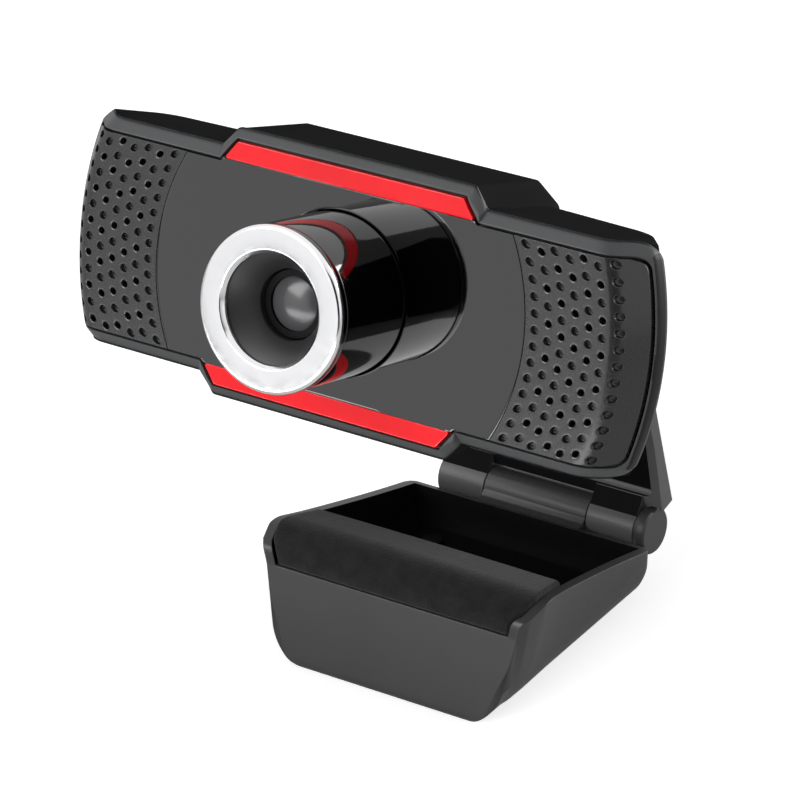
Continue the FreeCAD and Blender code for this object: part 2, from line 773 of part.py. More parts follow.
def make_friction_clip():
    """A rolled spring-steel sleeve, open along one side, that grips the pin in the middle knuckle."""
    half = centre_knuckle / 2 - 1.2
    sleeve = disc_x(hinge_pin_radius + 0.02 + clip_wall, -half, half)
    sleeve = sleeve.cut(disc_x(hinge_pin_radius + 0.02, -half - 1, half + 1))
    return sleeve.cut(block((-half - 1, half + 1), (-4, 0), (-0.5, 0.5)))


def make_hinge_cap():
    """The round cap on the right end of the pin, with a flared collar towards the knuckles."""
    start = barrel_half + 0.1
    end = start + cap_length
    corners = [(0, start), (knuckle_radius, start), (cap_radius, start + 0.8), (cap_radius, end - 0.3),
               (cap_radius - 0.3, end), (0, end)]
    cap = turned(corners)
    cap.rotate(Vec(0, 0, 0), Vec(0, 0, 1), -90)
    return cap.cut(disc_x(hinge_pin_radius + 0.01, 0, barrel_half + 1.35))


def place_on_hinge(shape):
    return shape.translated(Vec(0, hinge_behind, hinge_height))


# Foot.
def foot_section(y, bottom_half, top_half, inset, floor):
    """Across the foot: flat bottom, round lower corners, sides that widen upwards."""
    spread = (top_half - bottom_half) / top_of_form
    bottom = bottom_half - inset + spread * floor
    corners = [(-bottom, floor, foot_corner - inset), (bottom, floor, foot_corner - inset),
               (top_half - inset, top_of_form), (inset - top_half, top_of_form)]
    return rounded_wire(corners, lambda p: Vec(p.x, y, p.y))


def foot_form(inset, floor):
    """The foot's outside before its rim and ends are cut, or the room inside it."""
    stations = list(foot_widths)
    last, bottom, top = stations[-1]
    if inset == 0:
        for turn in (30, 60, 90):
            back = rear_corner * math.sin(math.radians(turn))
            inward = rear_corner * (1 - math.cos(math.radians(turn)))
            stations.append((last + back, bottom - inward, top - inward))
    else:
        stations.append((last + 3, bottom, top))
    return Part.makeLoft([foot_section(*station, inset, floor) for station in stations], True, True)


def rim_line(y):
    return rim_peak[1] - (y - rim_peak[0]) * math.tan(math.radians(rim_slope))


def front_wall(z, inset):
    """The leaning front wall's place at a height."""
    return foot_front + inset + z * foot_lean / foot_lip


def side_profile():
    return prism_x([
        (foot_front, 0, 1.2),
        (foot_back, 0, foot_heel),
        (foot_back, rim_line(foot_back), 0.8),
        (rim_peak[0], rim_peak[1], 6.0),
        (ear_shoulder[0], ear_shoulder[1], 1.2),
        (front_wall(foot_lip, 0), foot_lip, 3.0),
    ], -40, 40)


def inside_profile(play):
    """The room inside the foot's walls, open upwards."""
    low = foot_floor + play
    wall = foot_wall + play
    return prism_x([
        (front_wall(low, wall), low, 1.0),
        (foot_back - wall, low, foot_heel - wall),
        (foot_back - wall, 60),
        (front_wall(60, wall), 60),
    ], -40, 40)


def foot_room(play):
    return foot_form(foot_wall + play, foot_floor + play).common(inside_profile(play))


def make_foot_shell():
    outside = foot_form(0, -sole_trim).common(side_profile())
    lip = foot_form(foot_wall + pin_play, 0)
    lip = lip.common(block((-40, 40), (foot_front - 2, nose_crest[0]), (foot_lip, 40)))
    shell = outside.cut(foot_room(0)).cut(lip)
    half = centre_knuckle / 2
    axis = (hinge_behind, hinge_height)
    web = prism_x([
        (foot_back - 1.4, 4.5), (axis[0], axis[1] - knuckle_radius), (axis[0], axis[1] + knuckle_radius),
        (foot_back + 0.2, rim_line(foot_back) + 0.6), (foot_back - 1.4, rim_line(foot_back) + 0.2),
    ], -half, half)
    knuckle = disc_x(knuckle_radius, -half, half, *axis)
    bosses = []
    for x, y in foot_screw_at:
        bosses.append(disc_z(2.4, 0.5, liner_floor - liner_wall - 0.02, x, y))
    shell = join([shell, web, knuckle] + bosses)
    shell = shell.cut(disc_x(hinge_pin_radius + 0.02 + clip_wall + 0.02, -30, 30, *axis))
    for x, y in foot_screw_at:
        shell = shell.cut(disc_z(0.9, 0.7, 10, x, y))
    return shell


def nose_form(inset):
    """The nose from the side, foam included, inset inwards: an upright front, a shoulder, a crest and a slope back."""
    fall = (nose_crest[1] - nose_back[1]) / (nose_back[0] - nose_crest[0])
    far = 30.0
    outline = rounded_wire([
        (nose_front, -far),
        (nose_front, nose_shoulder, nose_shoulder_bend),
        (nose_crest[0], nose_crest[1], nose_crest_bend),
        (nose_crest[0] + far, nose_crest[1] - far * fall),
        (nose_crest[0] + far, -far),
    ], lambda p: Vec(-40, p.x, p.y))
    if inset:
        outline = outline.makeOffset2D(-inset)
    return Part.Face(outline).extrude(Vec(80, 0, 0))


def nose_band(outer, inner, low):
    """A curved band over the nose, from its front down to its rear edge."""
    band_form = nose_form(outer).cut(nose_form(inner))
    return band_form.common(block((-40, 40), (nose_front - 1, nose_back[0]), (low, 40)))


def make_liner():
    room = foot_room(seam)
    nose = nose_band(foam_thick + 0.02, foam_thick + liner_wall, foot_lip - 2.0)
    fall = (nose_crest[1] - nose_back[1]) / (nose_back[0] - nose_crest[0])
    foam_below = foam_thick * math.sqrt(1 + fall ** 2)
    wall_top = nose_back[1] - foam_below - seam
    wall = block((-40, 40), (nose_back[0] - liner_wall, nose_back[0]), (liner_floor - liner_wall, wall_top))
    floor = block((-40, 40), (nose_back[0] - liner_wall, 30), (liner_floor - liner_wall, liner_floor))
    liner = join([nose.common(room), wall.common(room), floor.common(room)])
    for x, y in foot_screw_at:
        liner = liner.cut(disc_z(1.1, 0, 10, x, y))
    return liner


def make_foam_pad():
    pad = nose_band(0, foam_thick, foot_lip + 0.05)
    return pad.common(foot_form(foot_wall + groove, 0))


def make_foot_screws():
    screw = make_screw(3.6, 1.7, 0.9, 0.85)
    screw.rotate(Vec(0, 0, 0), Vec(1, 0, 0), 90)
    return Part.Compound([screw.translated(Vec(x, y, liner_floor + 0.9)) for x, y in foot_screw_at])


# The whole.
head_pieces = {
    "front_bezel": make_front_bezel(),
    "face_panel": make_face_panel(),
    "inlay_top": make_inlay(1),
    "inlay_bottom": make_inlay(-1),
    "grille_right": make_right_grille(),
    "grille_left": mirrored(make_right_grille()),
    "rear_housing": make_rear_housing(),
    "housing_screws": make_housing_screws(),
    "lens_tube": make_lens_tube(),
    "chrome_ring": make_chrome_ring(),
    "lens_hood": make_lens_hood(),
    "lens_cell": make_lens_cell(),
    "front_lens": make_front_lens(),
    "inner_lenses": make_inner_lenses(),
    "lens_spacer": make_lens_spacer(),
    "lens_holder": make_lens_holder(),
    "filter_frame": make_filter_frame(),
    "infrared_filter": make_infrared_filter(),
    "image_sensor": make_image_sensor(),
    "circuit_board": make_circuit_board(),
    "board_chips": make_board_chips(),
    "board_screws": make_board_screws(),
    "cable_header": make_cable_header(),
    "cable_grommet": make_cable_grommet(),
    "microphone": make_microphone(),
    "microphone_boot": make_microphone_boot(),
}
arm_pieces = {
    "arm_shell": make_arm_shell(),
    "arm_cover": make_arm_cover(),
    "shelf_pad": make_shelf_pad(),
    "tilt_bolt": make_tilt_bolt(),
    "tilt_nut": make_tilt_nut(),
    "tilt_washers": make_tilt_washers(),
}
hinge_pieces = {
    "hinge_pin": make_hinge_pin(),
    "friction_clip": make_friction_clip(),
    "hinge_cap": make_hinge_cap(),
}
foot_pieces = {
    "foot_shell": make_foot_shell(),
    "foot_liner": make_liner(),
    "foam_pad": make_foam_pad(),
    "foot_screws": make_foot_screws(),
}

pieces = {}
for name, shape in head_pieces.items():
    pieces[name] = place_on_head(shape)
for name, shape in arm_pieces.items():
    pieces[name] = place_on_arm(shape)
for name, shape in hinge_pieces.items():
    pieces[name] = place_on_hinge(shape)
pieces.update(foot_pieces)
for name, shape in pieces.items():
    shape.exportStep("parts/" + name + ".step")
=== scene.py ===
import bmesh
import bpy
import math
import numpy as np
from mathutils import Matrix, Vector


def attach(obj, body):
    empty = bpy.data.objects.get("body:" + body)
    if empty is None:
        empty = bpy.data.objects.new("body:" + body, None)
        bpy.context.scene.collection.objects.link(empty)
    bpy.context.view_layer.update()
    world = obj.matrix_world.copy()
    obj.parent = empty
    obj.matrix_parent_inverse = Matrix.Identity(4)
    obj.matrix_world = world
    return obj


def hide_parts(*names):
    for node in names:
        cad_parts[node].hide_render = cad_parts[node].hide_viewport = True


# Clip-on webcam on its folding foot. Lengths are in millimetres until a mesh is made from them.
# The head's pieces are worked out in the head's own frame: its origin is where the lens axis meets the
# face, y runs back along that axis and z runs up the face. The foot's foam uses the object's frame.

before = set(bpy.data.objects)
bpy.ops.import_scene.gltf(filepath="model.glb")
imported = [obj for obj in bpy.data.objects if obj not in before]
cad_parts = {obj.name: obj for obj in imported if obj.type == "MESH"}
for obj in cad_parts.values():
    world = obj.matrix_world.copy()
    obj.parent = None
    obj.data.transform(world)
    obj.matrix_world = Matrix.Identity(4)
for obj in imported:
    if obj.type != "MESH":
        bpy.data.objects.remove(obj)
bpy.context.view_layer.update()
print("frame loaded")

headPlace = {
    "tilt": math.radians(17.9),                  # the lens looks up by this much
    "faceCentre": (0.0, -24.01434, 70.74398),    # the head frame's origin in the object's frame
}


def fromHead(points):
    # head's frame to object's frame: turned about X by minus the tilt, then moved to the face's centre
    cosTilt, sinTilt = math.cos(headPlace["tilt"]), math.sin(headPlace["tilt"])
    x, y, z = points[..., 0], points[..., 1], points[..., 2]
    turned = np.stack([x, y * cosTilt + z * sinTilt, z * cosTilt - y * sinTilt], -1)
    return turned + np.array(headPlace["faceCentre"])


def roundedPath(corners, steps, closed=False):
    # a line through corners (a, b) or (a, b, radius). A radius becomes an arc in equal steps that touches
    # both sides: its centre is on the corner's bisector, radius / sine of half the angle away from it
    out = []
    count = len(corners)
    for i, corner in enumerate(corners):
        here = np.array(corner[:2], float)
        radius = corner[2] if len(corner) > 2 else 0.0
        if radius == 0.0 or (not closed and i in (0, count - 1)):
            out.append(here[None])
            continue
        before = np.array(corners[i - 1][:2], float) - here
        after = np.array(corners[(i + 1) % count][:2], float) - here
        before /= np.linalg.norm(before)
        after /= np.linalg.norm(after)
        half = math.acos(np.clip(before @ after, -1, 1)) / 2
        middle = (before + after) / np.linalg.norm(before + after)
        centre = here + middle * radius / math.sin(half)
        start = here + before * radius / math.tan(half) - centre
        end = here + after * radius / math.tan(half) - centre
        turn = math.pi - 2 * half
        t = np.linspace(0, 1, steps + 1)[:, None]
        arc = (np.sin((1 - t) * turn) * start + np.sin(t * turn) * end) / math.sin(turn)
        out.append(centre + arc)
    return np.concatenate(out)


def spacedLine(start, end, count):
    # equal steps from start towards end, which is left out
    t = np.linspace(0, 1, count, endpoint=False)[:, None]
    return np.array(start, float) * (1 - t) + np.array(end, float) * t


def outlineRow(flat, depth):
    # an outline of (x, z) points, set at its depth behind the face
    return np.stack([flat[:, 0], np.broadcast_to(depth, len(flat)), flat[:, 1]], -1)


def gridFaces(rows, columns, closeRows, closeColumns):
    # four-cornered faces between neighbouring points of a grid, which may close on itself either way
    i = np.arange(rows if closeRows else rows - 1)
    j = np.arange(columns if closeColumns else columns - 1)
    a, b = np.meshgrid(i, j, indexing="ij")
    c, d = (a + 1) % rows, (b + 1) % columns
    corners = [a * columns + b, c * columns + b, c * columns + d, a * columns + d]
    return np.stack(corners, -1).reshape(-1, 4)


def gridPart(points, closeRows=False, closeColumns=False, capped=False):
    # a grid of points (rows, columns, 3) as one part, with flat caps over its first and last row if asked
    rows, columns = points.shape[:2]
    faces = gridFaces(rows, columns, closeRows, closeColumns).tolist()
    if capped:
        faces.append(list(range(columns))[::-1])
        faces.append([(rows - 1) * columns + k for k in range(columns)])
    return points.reshape(-1, 3), faces


def lathe(profile, steps):
    # a closed profile of (radius, place along the lens axis) carried round that axis in equal steps
    angle = np.linspace(0, 2 * math.pi, steps, endpoint=False)[:, None]
    radius, along = profile[None, :, 0], profile[None, :, 1] + 0 * angle
    points = np.stack([radius * np.cos(angle), along, radius * np.sin(angle)], -1)
    return gridPart(points, True, True)


def slab(outline, thick, edge):
    # a flat plate: its outline drawn in towards its own middle by the edge's rounding at both faces
    middle = (outline.max(0) + outline.min(0)) / 2
    reach = np.abs(outline - middle).max(0)
    rim = ((2 * edge, 0.0), (edge, 0.0), (0.3 * edge, 0.3 * edge), (0.0, edge))    # inset and depth
    steps = rim + tuple((inset, thick - depth) for inset, depth in rim[::-1])
    rows = [outlineRow(middle + (outline - middle) * (1 - inset / reach), depth) for inset, depth in steps]
    return gridPart(np.array(rows), False, True, True)


def makePiece(name, parts, body, material, replaces=(), place=fromHead, weld=0.002, sharp=30):
    # the parts' points go to the object's frame in metres, doubles are merged and normals turned outwards
    points, faces, first = [], [], 0
    for partPoints, partFaces in parts:
        points.append(place(partPoints) / 1000)
        faces.extend([[first + k for k in face] for face in partFaces])
        first += len(partPoints)
    mesh = bpy.data.meshes.new(name)
    mesh.from_pydata(np.concatenate(points).tolist(), [], faces)
    work = bmesh.new()
    work.from_mesh(mesh)
    bmesh.ops.remove_doubles(work, verts=work.verts, dist=weld / 1000)
    bmesh.ops.recalc_face_normals(work, faces=work.faces)
    work.to_mesh(mesh)
    work.free()
    mesh.shade_smooth()
    mesh.set_sharp_from_angle(angle=math.radians(sharp))
    piece = bpy.data.objects.new(name, mesh)
    bpy.context.scene.collection.objects.link(piece)
    mesh.materials.append(material)
    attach(piece, body)
    if replaces:
        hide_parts(*replaces)
    return piece


def paintFaces(mesh, material, rule):
    # a second material on the faces that the rule picks by their centres in mm and their normals
    count = len(mesh.polygons)
    centre, normal = np.empty(count * 3), np.empty(count * 3)
    mesh.polygons.foreach_get("center", centre)
    mesh.polygons.foreach_get("normal", normal)
    chosen = rule(centre.reshape(-1, 3) * 1000, normal.reshape(-1, 3))
    mesh.materials.append(material)
    mesh.polygons.foreach_set("material_index", chosen.astype(int))


def hexColour(code):
    # sRGB hex to linear red, green, blue and alpha
    values = [int(code[i:i + 2], 16) / 255 for i in (1, 3, 5)]
    linear = [v / 12.92 if v <= 0.04045 else ((v + 0.055) / 1.055) ** 2.4 for v in values]
    return (*linear, 1.0)


def newMaterial(name):
    # a material with its node tree and its shader
    material = bpy.data.materials.new(name)
    material.use_nodes = True
    return material, material.node_tree, material.node_tree.nodes["Principled BSDF"]


def feedNode(tree, node, inputs):
    # a fixed value is set on the node's own socket, and another node's output is linked to it
    for key, value in inputs.items():
        if isinstance(value, bpy.types.NodeSocket):
            tree.links.new(value, node.inputs[key])
        else:
            node.inputs[key].default_value = value


def addNode(tree, kind, settings=None, inputs=None):
    # one node with its settings, its fixed input values and its links
    node = tree.nodes.new(kind)
    for key, value in (settings or {}).items():
        setattr(node, key, value)
    feedNode(tree, node, inputs or {})
    return node


# what a plastic has unless its own values say otherwise; its clouds are about 17 mm wide
plainPlastic = {"mottle": 0.06, "cloudsPerMetre": 60.0, "glossSpread": 0.05, "edge": 0.12, "coat": 0.0,
                "specular": 0.5}


def mouldedPlastic(name, finish):
    # injection-moulded plastic: the colour times a wide faint cloud, roughness that runs with the mould's
    # fine grain, and that grain as height over edges rounded by "edge". Sizes in mm
    finish = {**plainPlastic, **finish}
    rough, spread, mottle = finish["roughness"], finish["glossSpread"], finish["mottle"]
    material, tree, shader = newMaterial(name)
    place = addNode(tree, "ShaderNodeTexCoord").outputs["Object"]
    grain = addNode(tree, "ShaderNodeTexNoise", None, {
        "Vector": place, "Scale": 1000 / finish["grain"], "Detail": 3.0, "Roughness": 0.6})
    cloud = addNode(tree, "ShaderNodeTexNoise", None, {
        "Vector": place, "Scale": finish["cloudsPerMetre"], "Detail": 2.0})
    tone = addNode(tree, "ShaderNodeMapRange", None, {
        "Value": cloud.outputs["Fac"], "From Min": 0.3, "From Max": 0.7,
        "To Min": 1 - mottle, "To Max": 1 + mottle})
    tinted = addNode(tree, "ShaderNodeVectorMath", {"operation": "SCALE"}, {
        "Vector": hexColour(finish["colour"])[:3], "Scale": tone.outputs["Result"]})
    gloss = addNode(tree, "ShaderNodeMapRange", None, {
        "Value": grain.outputs["Fac"], "From Min": 0.3, "From Max": 0.7,
        "To Min": rough - spread, "To Max": rough + spread})
    rounding = addNode(tree, "ShaderNodeBevel", {"samples": 6}, {"Radius": finish["edge"] / 1000})
    bump = addNode(tree, "ShaderNodeBump", None, {
        "Strength": 1.0, "Distance": finish["grainDepth"] / 1000,
        "Height": grain.outputs["Fac"], "Normal": rounding.outputs["Normal"]})
    feedNode(tree, shader, {
        "Base Color": tinted.outputs["Vector"], "Roughness": gloss.outputs["Result"],
        "Normal": bump.outputs["Normal"], "Coat Weight": finish["coat"],
        "Specular IOR Level": finish["specular"]})
    return material


# Bezel: satin grey ABS with fine moulded grain, for soft wide highlights.
bezelGrey = mouldedPlastic("satinGreyAbs", {
    "colour": "#434445", "roughness": 0.42, "grain": 0.25, "grainDepth": 0.004, "specular": 0.3})
# Bezel's end walls: the same ABS in a darker tone with less shine, as painted shade for walls that face away
# from the light and stay dark beside the rim.
bezelPaintedShade = mouldedPlastic("satinGreyAbsPaintedShade", {
    "colour": "#1d1d1e", "roughness": 0.45, "grain": 0.25, "grainDepth": 0.004, "specular": 0.15})
# Housing: matt black ABS from a spark-eroded mould, coarser grain and almost no highlight.
housingBlack = mouldedPlastic("mattBlackAbs", {
    "colour": "#252526", "roughness": 0.6, "grain": 0.3, "grainDepth": 0.008, "specular": 0.0})
# Grilles: dark grey plastic with a slight sheen between the holes.
grilleGrey = mouldedPlastic("mattGreyGrille", {
    "colour": "#262627", "roughness": 0.27, "grain": 0.22, "grainDepth": 0.0015, "coat": 0.1})
# Foot: charcoal satin ABS, its edges softly rounded.
standCharcoal = mouldedPlastic("satinCharcoalAbs", {
    "colour": "#343435", "roughness": 0.4, "grain": 0.28, "grainDepth": 0.004, "edge": 0.3, "specular": 0.4})
# Arm: the same ABS in a slightly paler tone, as painted light for its brighter edge and knuckle tops.
armCharcoalPaintedLight = mouldedPlastic("satinCharcoalArmPaintedLight", {
    "colour": "#4d4d4e", "roughness": 0.4, "grain": 0.28, "grainDepth": 0.004, "edge": 0.3, "specular": 0.4})
# Arm's inner cover: dull black plastic that gives hardly any light back.
innerBlack = mouldedPlastic("dullBlackInner", {
    "colour": "#0b0b0c", "roughness": 0.6, "grain": 0.4, "grainDepth": 0.006, "specular": 0.1})
# Inner walls of foot and arm: unpolished black plastic with no sheen. On the foot's liner and tray walls it
# is partly the plastic's own black and partly painted shade from the head above; on the arm's webs over the
# hinge it is painted shade.
insideBlackAndShade = mouldedPlastic("bareBlackInsideAndShade", {
    "colour": "#121213", "roughness": 0.7, "grain": 0.4, "grainDepth": 0.004, "edge": 0.1,
    "specular": 0.04})
# Barrel: polished black ABS that mirrors the red bars.
barrelBlack = mouldedPlastic("polishedBlackAbs", {
    "colour": "#050506", "roughness": 0.055, "grain": 0.6, "grainDepth": 0.0002, "mottle": 0.02,
    "edge": 0.1, "coat": 0.12, "specular": 0.85})
# Cone round the lens: moulded light trap, an even dark satin.
hoodBlack = mouldedPlastic("lightTrapBlack", {
    "colour": "#242425", "roughness": 0.45, "grain": 0.2, "grainDepth": 0.002, "edge": 0.08})
# Lens cell: black anodised turning, deep black with a weak sheen.
cellBlack = mouldedPlastic("anodisedBlackCell", {
    "colour": "#050506", "roughness": 0.4, "grain": 0.2, "grainDepth": 0.001, "edge": 0.06,
    "specular": 0.1})
# Pads, grommet and microphone boot: moulded rubber, dull and soft-edged.
rubberBlack = mouldedPlastic("mouldedRubber", {
    "colour": "#141414", "roughness": 0.7, "grain": 0.2, "grainDepth": 0.004, "edge": 0.1})
# Chips, sensor and lens holder: black epoxy with a fine matt skin.
chipBlack = mouldedPlastic("epoxyChip", {
    "colour": "#121213", "roughness": 0.5, "grain": 0.15, "grainDepth": 0.003, "edge": 0.05})
# Circuit board: green solder mask, smooth and a little glossy.
boardGreen = mouldedPlastic("solderMaskGreen", {
    "colour": "#0d3a1f", "roughness": 0.35, "grain": 0.5, "grainDepth": 0.002, "edge": 0.05})
# Cable header: natural nylon, warm white.
headerIvory = mouldedPlastic("nylonHeader", {
    "colour": "#dcd6c6", "roughness": 0.45, "grain": 0.3, "grainDepth": 0.002, "edge": 0.06})


def hazedSurface(name, haze, sockets):
    # a smooth surface: its roughness runs from "low" to "high" as a noise runs through "span", the noise
    # having "perMetre" cells in a metre. All else is fixed on the shader's own sockets
    material, tree, shader = newMaterial(name)
    place = addNode(tree, "ShaderNodeTexCoord").outputs["Object"]
    noise = addNode(tree, "ShaderNodeTexNoise", None, {
        "Vector": place, "Scale": haze["perMetre"], "Detail": haze["detail"]})
    gloss = addNode(tree, "ShaderNodeMapRange", None, {
        "Value": noise.outputs["Fac"], "From Min": haze["span"][0], "From Max": haze["span"][1],
        "To Min": haze["low"], "To Max": haze["high"]})
    feedNode(tree, shader, {"Roughness": gloss.outputs["Result"], **sockets})
    if "edge" in haze:
        rounding = addNode(tree, "ShaderNodeBevel", {"samples": 4}, {"Radius": haze["edge"] / 1000})
        feedNode(tree, shader, {"Normal": rounding.outputs["Normal"]})
    return material


def plainMetal(name, colour, roughness):
    # plated, drawn or rolled metal: scratches of about 0.7 mm blur its mirror, edges rounded by 0.08 mm
    haze = {"perMetre": 1500.0, "detail": 4.0, "span": (0.3, 0.7), "low": roughness - 0.06,
            "high": roughness + 0.08, "edge": 0.08}
    return hazedSurface(name, haze, {"Base Color": hexColour(colour), "Metallic": 1.0})


def coatedGlass(name, tint, clear, roughness):
    # optical glass with a coating: "clear" is the share of light let through, smears of 2.5 mm
    haze = {"perMetre": 400.0, "detail": 2.0, "span": (0.0, 1.0), "low": roughness * 0.8,
            "high": roughness * 1.2}
    sockets = {"Base Color": hexColour(tint), "IOR": 1.52, "Transmission Weight": clear}
    return hazedSurface(name, haze, sockets)


# Panel: cast acrylic printed black behind and polished, a dark mirror with a haze of about 5 mm.
panelAcrylic = hazedSurface(
    "polishedBlackAcrylic",
    {"perMetre": 220.0, "detail": 4.0, "span": (0.35, 0.7), "low": 0.03, "high": 0.055},
    {"Base Color": hexColour("#030304"), "IOR": 1.49, "Coat Weight": 1.0, "Coat Roughness": 0.02})
# Ring: satin chrome on a turned ring, a bright and softly blurred mirror with grain of about 1 mm.
ringChrome = hazedSurface(
    "satinChromePlate",
    {"perMetre": 900.0, "detail": 3.0, "span": (0.3, 0.7), "low": 0.14, "high": 0.2},
    {"Base Color": hexColour("#ededef"), "Metallic": 1.0})
# Screws, bolt, nut and pin: zinc plate, pale grey.
zincSteel = plainMetal("zincPlatedSteel", "#b9babc", 0.32)
# Foot's screws: black oxide, nearly matt.
blackSteel = plainMetal("blackOxideSteel", "#141415", 0.5)
# Friction clip: rolled spring steel, mid grey.
springSteel = plainMetal("rolledSpringSteel", "#8d8e90", 0.36)
# Microphone: drawn aluminium can, light grey.
microphoneCan = plainMetal("drawnAluminiumCan", "#c8c9cb", 0.3)
# Lens elements: coated glass over a dark inside, drawn as a satin grey that lets nothing through; the grey is
# painted reflection of the bright room the dome mirrors.
lensGlassPaintedReflection = coatedGlass("coatedLensPaintedReflection", "#48484a", 0.0, 0.22)
# Infrared filter: pale blue-green glass.
filterGlass = coatedGlass("infraredFilterGlass", "#a8d5cf", 0.85, 0.02)


redBar = {"colour": "#ee0d1b", "roughness": 0.12, "specular": 0.4, "cloudsPerMetre": 90.0, "darkest": 0.94,
          "lightest": 1.05}


def redAcrylic():
    # tinted acrylic bars: deep glossy red, its colour times a cloud of about 11 mm
    material, tree, shader = newMaterial("redTintedAcrylic")
    place = addNode(tree, "ShaderNodeTexCoord").outputs["Object"]
    cloud = addNode(tree, "ShaderNodeTexNoise", None, {
        "Vector": place, "Scale": redBar["cloudsPerMetre"], "Detail": 2.0})
    shade = addNode(tree, "ShaderNodeMapRange", None, {
        "Value": cloud.outputs["Fac"], "From Min": 0.3, "From Max": 0.7,
        "To Min": redBar["darkest"], "To Max": redBar["lightest"]})
    tinted = addNode(tree, "ShaderNodeVectorMath", {"operation": "SCALE"}, {
        "Vector": hexColour(redBar["colour"])[:3], "Scale": shade.outputs["Result"]})
    feedNode(tree, shader, {
        "Base Color": tinted.outputs["Vector"], "Roughness": redBar["roughness"],
        "Specular IOR Level": redBar["specular"]})
    return material


foamSkin = {"colour": "#1c1c1d", "cell": 0.35, "cloudsPerMetre": 420.0, "darkest": 0.6, "lightest": 1.4,
            "roughness": 0.85, "sheen": 0.15, "specular": 0.1, "pitDepth": 0.06}


def closedCellFoam():
    # neoprene foam: colour times a cloud of about 2.4 mm, pits of the cell's size plus that cloud as
    # height. It reads as rough charcoal with no gloss
    material, tree, shader = newMaterial("neopreneFoam")
    place = addNode(tree, "ShaderNodeTexCoord").outputs["Object"]
    cells = addNode(tree, "ShaderNodeTexVoronoi", {"feature": "F1"}, {
        "Vector": place, "Scale": 1000 / foamSkin["cell"], "Randomness": 1.0})
    cloud = addNode(tree, "ShaderNodeTexNoise", None, {
        "Vector": place, "Scale": foamSkin["cloudsPerMetre"], "Detail": 5.0, "Roughness": 0.65})
    tone = addNode(tree, "ShaderNodeMapRange", None, {
        "Value": cloud.outputs["Fac"], "From Min": 0.3, "From Max": 0.7,
        "To Min": foamSkin["darkest"], "To Max": foamSkin["lightest"]})
    tinted = addNode(tree, "ShaderNodeVectorMath", {"operation": "SCALE"}, {
        "Vector": hexColour(foamSkin["colour"])[:3], "Scale": tone.outputs["Result"]})
    height = addNode(tree, "ShaderNodeMath", {"operation": "ADD"}, {
        0: cells.outputs["Distance"], 1: cloud.outputs["Fac"]})
    bump = addNode(tree, "ShaderNodeBump", None, {
        "Strength": 0.8, "Distance": foamSkin["pitDepth"] / 1000, "Height": height.outputs["Value"]})
    feedNode(tree, shader, {
        "Base Color": tinted.outputs["Vector"], "Roughness": foamSkin["roughness"],
        "Sheen Weight": foamSkin["sheen"], "Specular IOR Level": foamSkin["specular"],
        "Normal": bump.outputs["Normal"]})
    return material


inlayRed = redAcrylic()
foamBlack = closedCellFoam()
print("materials made")

# the face seen from above: flat to its bend, then falling back to its end, then the housing's side. Each
# corner is (distance from the lens axis, depth behind the face, rounding)
head = {"bend": (45.6, 0, 3.5), "end": (50.3, 6.27, 1.6), "back": (44.6, 14.2), "bendSteps": 10}
facePath = roundedPath([(0, 0), head["bend"], head["end"], head["back"]], head["bendSteps"])
faceEnd = int(np.argmax(facePath[:, 0]))


def faceDepth(radius):
    # how far the face lies back at a distance from the lens axis
    return np.interp(radius, facePath[:faceEnd + 1, 0], facePath[:faceEnd + 1, 1])


# points in each stretch of a quarter outline, the same for all outlines, so that they match
stretches = {"top": 12, "bend": 4, "slope": 5, "side": 30, "corner": 12, "end": 16}


def quarterOutline(shape):
    # a quarter of a front view, from the top's middle to the end's middle: raised top, slope, long side,
    # round corner, arc about the lens axis. The corner's centre is "corner" inside both side and arc
    side, radius, corner, bend = shape["side"], shape["radius"], shape["corner"], shape["bend"]
    bends = stretches["bend"]
    level = side - corner
    across = math.sqrt((radius - corner) ** 2 - level ** 2)
    low = math.asin(level / (radius - corner))
    path = roundedPath([(0, shape["top"]), (shape["topHalf"], shape["top"], bend),
                        (shape["footHalf"], side, bend), (across, side)], bends)
    first, second = path[1:2 + bends], path[2 + bends:3 + 2 * bends]
    turn = np.linspace(math.pi / 2, low, stretches["corner"], endpoint=False)[:, None]
    cornerArc = np.array([across, level]) + corner * np.concatenate([np.cos(turn), np.sin(turn)], 1)
    sweep = np.linspace(low, 0, stretches["end"])[:, None]
    endArc = radius * np.concatenate([np.cos(sweep), np.sin(sweep)], 1)
    return np.concatenate([
        spacedLine((0, shape["top"]), first[0], stretches["top"]), first[:-1],
        spacedLine(first[-1], second[0], stretches["slope"]), second[:-1],
        spacedLine(second[-1], (across, side), stretches["side"]), cornerArc, endArc,
    ])


def fullOutline(quarter):
    # a quarter mirrored downwards and then across, as one closed loop
    right = np.concatenate([quarter, quarter[-2::-1] * (1, -1)])
    return np.concatenate([right[:-1], right[::-1][:-1] * (-1, 1)])


